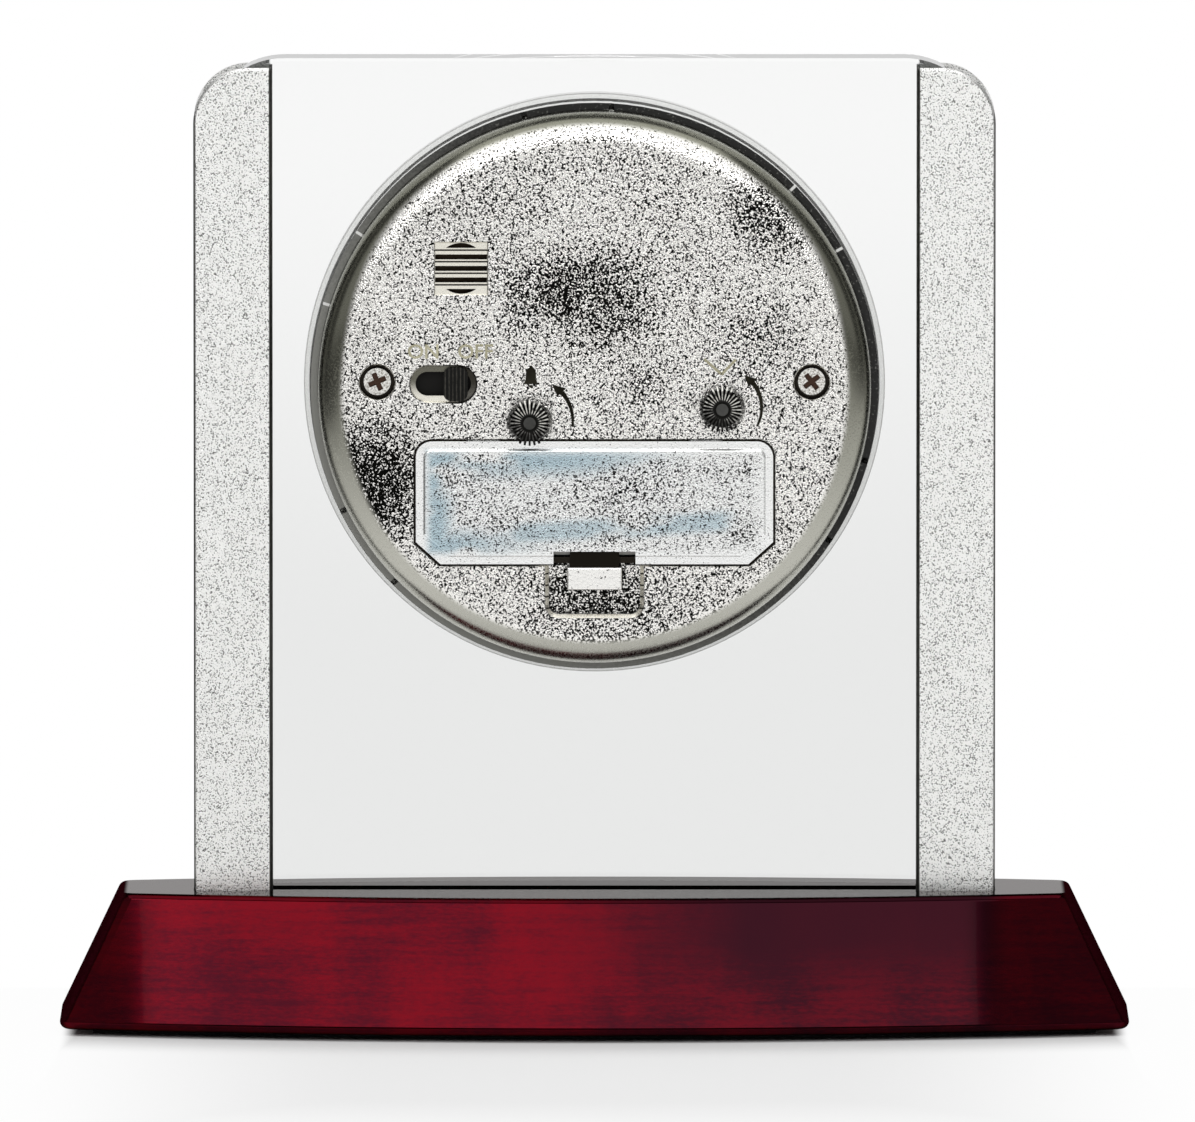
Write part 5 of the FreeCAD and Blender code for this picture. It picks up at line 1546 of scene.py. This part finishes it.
class CrossScrews(Pattern):
    """Screws with a cross recess, in a row along X, facing the back."""

    head_sides: int = 40
    shank_sides: int = 24
    second_cut: Triple = (1.0, 1.0, 0.9)

    def __init__(self) -> None:
        """Builds the tree: a bevelled head less a cross, with its shank, on each point."""
        super().__init__("cross_screws", Count="Int", Pitch="Vector", Head="Float",
                         Crown="Float", Height="Float", Shank="Float", Length="Float",
                         Blade="Vector", Seed="Int", Place="Vector")
        sizes = self.inputs
        head = self.solid("Cone", {"Vertices": self.head_sides, "Radius Top": sizes["Crown"],
                                   "Radius Bottom": sizes["Head"], "Depth": sizes["Height"]},
                          "NGON")
        blade = self.solid("Cube", {"Size": sizes["Blade"]})
        other = self.moved(blade, Rotation=(0.0, 0.0, QUARTER_TURN), Scale=self.second_cut)
        for tool in (blade, other):
            lifted = self.moved(tool, Translation=self.upward(sizes["Height"]))
            head = self.graph.add("GeometryNodeMeshBoolean", {"operation": "DIFFERENCE"},
                                  {"Mesh 1": head, "Mesh 2": lifted})["Mesh"]
        shank = self.solid("Cylinder", {"Vertices": self.shank_sides, "Radius": sizes["Shank"],
                                        "Depth": sizes["Length"]})
        shank = self.moved(shank, Translation=self.upward(sizes["Length"] * -0.5))
        screw = self.graph.add("GeometryNodeJoinGeometry", {}, {"Geometry": [head, shank]})
        row = self.solid("Line", {"Count": sizes["Count"], "Offset": sizes["Pitch"]})
        turn = self.graph.add("FunctionNodeRandomValue", {"data_type": "FLOAT"},
                              {"Seed": sizes["Seed"], 2: 0.0, 3: math.pi})[1]
        self.close(row, screw["Geometry"], turn, -QUARTER_TURN)


# ------------------------------------------------------------------ sub-assemblies
@dataclass
class Assembly:
    """Pieces that belong together, with the finishes of the CAD nodes among them."""

    finishes: Dressing = ()

    def make(self) -> None:
        """Makes the pieces that only the scene has; most assemblies have none."""

    def build(self) -> None:
        """Makes the assembly's own pieces and gives its CAD nodes their finishes."""
        self.make()
        for finish, nodes in self.finishes:
            for name in nodes:
                paint(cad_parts[name], finish)
                log.info("%s: %s", name, finish.name)


@dataclass
class Stand(Assembly):
    """The wooden base, the glass and the two posts."""

    finishes: Dressing = (
        (LACQUER, ("base_block",)), (FELT, ("felt_pad",)), (GLASS, ("glass_panel",)),
        (SILVER, ("left_side_post", "right_side_post")))


@dataclass(frozen=True)
class Arrow:
    """A curved arrow round a knob, in mm and degrees from +X."""

    middle: Point
    radius: float
    tail_at: float
    head_at: float
    tail: float = 0.35
    shaft: float = 0.75
    barb: float = 0.95
    point: float = 17.0
    stretches: int = 10

    def outlines(self) -> list[Outline]:
        """Draws the tapering shaft and the head.

        Returns:
            The outlines.
        """
        line = arc(self.middle, self.radius, self.tail_at, self.head_at, self.stretches)
        corners = ((-self.barb, 0.0), (0.0, self.point), (self.barb, 0.0))
        head = [arc(self.middle, self.radius + side, self.head_at - ahead, self.head_at, 1)[0]
                for side, ahead in corners]
        return stroke(line, self.tail, self.shaft) + [head]


@dataclass(frozen=True)
class Bell:
    """A bell with its crown and clapper, in mm from its middle."""

    middle: Point
    dome: float = 0.80
    dome_above: float = 0.75
    waist: Point = (0.85, -0.5)
    hem: Point = (1.2, -1.15)
    crown: float = 0.25
    crown_above: float = 1.65
    crown_turn: float = 330.0
    clapper: float = 0.42
    clapper_below: float = 1.35
    dome_stretches: int = 12
    crown_stretches: int = 11
    clapper_stretches: int = 8

    def outlines(self) -> list[Outline]:
        """Draws the body, the crown and the clapper.

        Returns:
            The outlines.
        """
        x, z = self.middle
        dome = arc((x, z + self.dome_above), self.dome, 0, 180, self.dome_stretches)
        skirt = [(x + side * across, z + above) for side, (across, above) in
                 ((-1, self.waist), (-1, self.hem), (1, self.hem), (1, self.waist))]
        crown = arc((x, z + self.crown_above), self.crown, 0, self.crown_turn,
                    self.crown_stretches)
        clapper = arc((x, z - self.clapper_below), self.clapper, 180, 360,
                      self.clapper_stretches)
        return [dome + skirt, crown, clapper]


@dataclass(frozen=True)
class Hands:
    """Two clock hands as one bent line, in mm from where they meet."""

    middle: Point
    tips: tuple[Point, Point] = ((2.8, 2.5), (-2.3, 2.4))
    line: float = 0.42

    def outlines(self) -> list[Outline]:
        """Draws the two strokes.

        Returns:
            The outlines.
        """
        x, z = self.middle
        first, last = ((x + across, z + above) for across, above in self.tips)
        return stroke([first, self.middle, last], self.line, self.line)


@dataclass
class CaseSigns:
    """The raised signs on the case back, in mm from the middle of the dial."""

    face: float = 11.5
    rise: float = 0.14
    sunk: float = 0.05
    letter: float = 3.3
    weight: float = 0.012
    words: tuple[tuple[str, str, Point], ...] = (
        ("on_sign", "ON", (27.7, 6.1)), ("off_sign", "OFF", (19.3, 6.1)))
    drawings: tuple[tuple[str, Union[Arrow, Bell, Hands], Finish], ...] = (
        ("bell_sign", Bell((10.3, 2.1)), DARK_SIGNS), ("hands_sign", Hands((-20.6, 2.5)), SIGNS),
        ("alarm_arrow", Arrow(ALARM_KNOB, 7.0, 187.0, 138.0), DARK_SIGNS),
        ("time_arrow", Arrow(TIME_KNOB, 6.4, 207.0, 141.0), DARK_SIGNS))

    def build(self) -> None:
        """Builds and dresses all the signs."""
        middle = self.face + (self.rise - self.sunk) / 2
        for name, text, (across, above) in self.words:
            word = lettered(name, text, self.letter * MM, on_insert(across, middle, above),
                            View.BACK, (self.rise + self.sunk) * MM, self.weight)
            settle(word, SIGNS, "stand")
        for name, drawing, finish in self.drawings:
            outlines = [[(x * MM, z * MM + DIAL_MIDDLE) for x, z in outline]
                        for outline in drawing.outlines()]
            sign = prisms(name, outlines, (self.face - self.sunk) * MM,
                          (self.face + self.rise) * MM)
            settle(sign, finish, "stand")


@dataclass
class InsertCase(Assembly):
    """The round case: bezel, window, grip ring, plated back and its two screws, in mm."""

    screw_spacing: float = 70.4
    screw_above: float = 1.2
    seat: float = 8.4
    head: float = 2.33
    crown: float = 2.2
    head_height: float = 1.6
    shank: float = 1.2
    shank_length: float = 8.4
    blade: Triple = (3.0, 0.85, 1.6)
    seed: int = 4
    signs: CaseSigns = field(default_factory=CaseSigns)
    finishes: Dressing = (
        (BEZEL, ("bezel_ring",)), (WINDOW, ("crystal_lens",)), (GRIP, ("grip_ring",)),
        (CASE, ("case_back",)))

    def make(self) -> None:
        """Builds the screws and the signs."""
        screws = CrossScrews().grow(
            "case_back_screws", SCREW, Count=2, Pitch=(self.screw_spacing * MM, 0.0, 0.0),
            Head=self.head * MM, Crown=self.crown * MM, Height=self.head_height * MM,
            Shank=self.shank * MM, Length=self.shank_length * MM,
            Blade=tuple(side * MM for side in self.blade), Seed=self.seed,
            Place=on_insert(-self.screw_spacing / 2, self.seat, self.screw_above))
        settle(screws, SCREW, "stand")
        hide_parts("case_screws")
        self.signs.build()


@dataclass
class Dial(Assembly):
    """The dial with its ring, ticks, numerals and hands, in mm."""

    front: float = -6.3
    print_depth: float = 0.05
    tick_radius: float = 39.0
    ticks: tuple[tuple[str, int, Point], ...] = (
        ("minute_ticks", 60, (1.6, 0.22)), ("hour_ticks", 12, (2.6, 0.7)))
    numeral_radius: float = 33.0
    numeral: float = 7.2
    hours: int = 12
    finishes: Dressing = (
        (WHITE, ("dial_surround",)), (DIAL_PAINT, ("dial_plate",)),
        (BLACK_PAINT, ("hour_hand", "minute_hand")), (RED_PAINT, ("second_hand",)),
        (GOLD_PAINT, ("alarm_hand",)))

    def make(self) -> None:
        """Prints the ticks and the numerals."""
        middle = self.front - self.print_depth / 2
        ring = MarkRing()
        ticks = [ring.grow(name, INK, Count=count, Radius=self.tick_radius * MM,
                           Bar=(length * MM, width * MM, self.print_depth * MM),
                           Place=on_insert(0.0, middle, 0.0))
                 for name, count, (length, width) in self.ticks]
        numerals = []
        for hour in range(1, self.hours + 1):
            turn = FULL_TURN * hour / self.hours
            place = on_insert(self.numeral_radius * math.sin(turn), middle,
                              self.numeral_radius * math.cos(turn))
            numerals.append(lettered(f"numeral_{hour}", str(hour), self.numeral * MM, place,
                                     View.FRONT, self.print_depth * MM))
        for name, marks in (("dial_ticks", ticks), ("dial_numerals", numerals)):
            settle(joined(name, marks), INK, "stand")


@dataclass
class BatteryBay(Assembly):
    """The door, its latch and the battery's contacts."""

    finishes: Dressing = (
        (DOOR, ("battery_door",)), (TAB, ("door_latch",)),
        (STEEL, ("plate_contact", "spring_contact")))


@dataclass
class Movement(Assembly):
    """Plates, wheels, motor, electronics, switch and setting knobs."""

    finishes: Dressing = (
        (WHITE, ("front_plate", "middle_plate", "rear_plate", "coil_bobbin")),
        (NYLON, ("alarm_wheel", "hour_wheel", "minute_wheel", "centre_wheel", "third_wheel",
                 "seconds_wheel", "step_wheel")),
        (BRASS, ("cannon_pinion", "switch_wiper")), (BUZZER, ("buzzer_disc",)),
        (STEEL, ("plate_screws", "quartz_can")),
        (DARK_STEEL, ("time_set_shaft", "alarm_set_shaft")), (MAGNET, ("rotor",)),
        (IRON, ("stator", "coil_core")), (COPPER, ("coil_winding",)),
        (BOARD, ("circuit_board",)), (RESIN, ("control_chip",)), (BLACK, ("switch_body",)),
        (SLIDER, ("switch_slider",)), (KNOBS, ("time_knob", "alarm_knob")))


# ------------------------------------------------------------------ studio
@dataclass(frozen=True)
class Softbox:
    """A rectangular lamp that faces the clock."""

    name: str
    place: Triple
    size: Point
    radiance: float
    target: Triple = (0.0, 0.0, 0.08)

    def build(self) -> None:
        """Hangs the lamp."""
        data = bpy.data.lights.new(self.name, "AREA")
        data.shape = "RECTANGLE"
        data.size, data.size_y = self.size
        data.energy = self.radiance * math.pi * self.size[0] * self.size[1]
        lamp = linked(self.name, data)
        lamp.location = self.place
        aim = Vector(self.target) - Vector(self.place)
        lamp.rotation_euler = aim.to_track_quat("-Z", "Y").to_euler()


@dataclass(frozen=True)
class Air:
    """White behind the clock for what is seen, and a dim room on the other side.

    Each ramp reads one part of the direction.
    """

    behind: Ramp = fall(-0.45, -0.05)
    behind_height: Ramp = fall(0.12, 0.40, 1.0, 0.10)
    flank: Ramp = Ramp(0.30, 0.38)
    flank_height: Ramp = Ramp(0.02, 0.10)
    flank_depth: Ramp = Ramp(0.1, 0.3, 0.0, 0.55)
    room: float = 0.10
    fill: Ramp = fall(-0.75, -0.25, 0.60)
    fill_height: Ramp = fall(0.15, 0.55)
    fill_least: float = 0.30

    def build(self) -> None:
        """Makes the world."""
        world = bpy.data.worlds.new("studio_air")
        bpy.context.scene.world = world
        world.use_nodes = True
        graph = Graph(world.node_tree)
        x, y, z = graph.axes("Generated")
        behind = self.behind(y) * self.behind_height(z)
        flank = self.flank(x.absolute()) * self.flank_height(z) * self.flank_depth(y)
        room = behind.at_least(flank).at_least(self.room)
        fill = self.fill(y) * self.fill_height(z) + self.fill_least
        mirrored = graph.rays("Is Glossy Ray")
        seen = graph.rays("Is Camera Ray", "Is Transmission Ray")
        level = seen.or_else(mirrored * room + (1 - mirrored) * fill)
        light = graph.add("ShaderNodeBackground", {}, {"Color": opaque(PLAIN_WHITE),
                                                       "Strength": level})["Background"]
        graph.add("ShaderNodeOutputWorld", {}, {"Surface": light})


@dataclass
class Studio:
    """Camera, floor, air and lamps."""

    distance: float = 5.0
    elevation: float = 5.6
    aim: Triple = (-0.00049, 0.0, 0.07620)
    lens: float = 927.0
    sensor: float = 36.0
    sight: float = 100.0
    floor_size: float = 30.0
    paper: Paper = Paper("paper_floor")
    air: Air = Air()
    lamps: tuple[Softbox, ...] = (
        Softbox("front_softbox", (0.07, 2.0, 1.05), (1.94, 0.95), 2.9),
        Softbox("top_softbox", (0.0, 0.5, 1.9), (2.4, 1.8), 1.5))

    def _camera(self) -> None:
        """Sets the camera behind the clock, a little above it."""
        data = bpy.data.cameras.new("portrait_camera")
        data.sensor_width = self.sensor
        data.lens = self.lens
        data.clip_end = self.sight
        camera = linked("portrait_camera", data)
        rise = math.radians(self.elevation)
        back = Vector((0.0, math.cos(rise), math.sin(rise)))
        camera.location = Vector(self.aim) + back * self.distance
        camera.rotation_euler = (-back).to_track_quat("-Z", "Y").to_euler()
        bpy.context.scene.camera = camera

    def _floor(self) -> None:
        """Lays the paper floor."""
        half = self.floor_size / 2
        corners = [(-half, -half, 0), (half, -half, 0), (half, half, 0), (-half, half, 0)]
        mesh = bpy.data.meshes.new("studio_floor")
        mesh.from_pydata(corners, [], [(0, 1, 2, 3)])
        floor = linked("studio_floor", mesh)
        paint(floor, self.paper)

    def build(self) -> None:
        """Sets up the whole studio."""
        self._camera()
        self._floor()
        self.air.build()
        for lamp in self.lamps:
            lamp.build()
        bpy.context.scene.view_settings.view_transform = "Standard"


def main() -> None:
    """Builds the studio and every part of the clock."""
    logging.basicConfig(level=logging.INFO, format="%(name)s %(message)s")
    Studio().build()
    for assembly in (Stand(), InsertCase(), Dial(), BatteryBay(), Movement()):
        assembly.build()


if __name__ == "__main__":
    main()
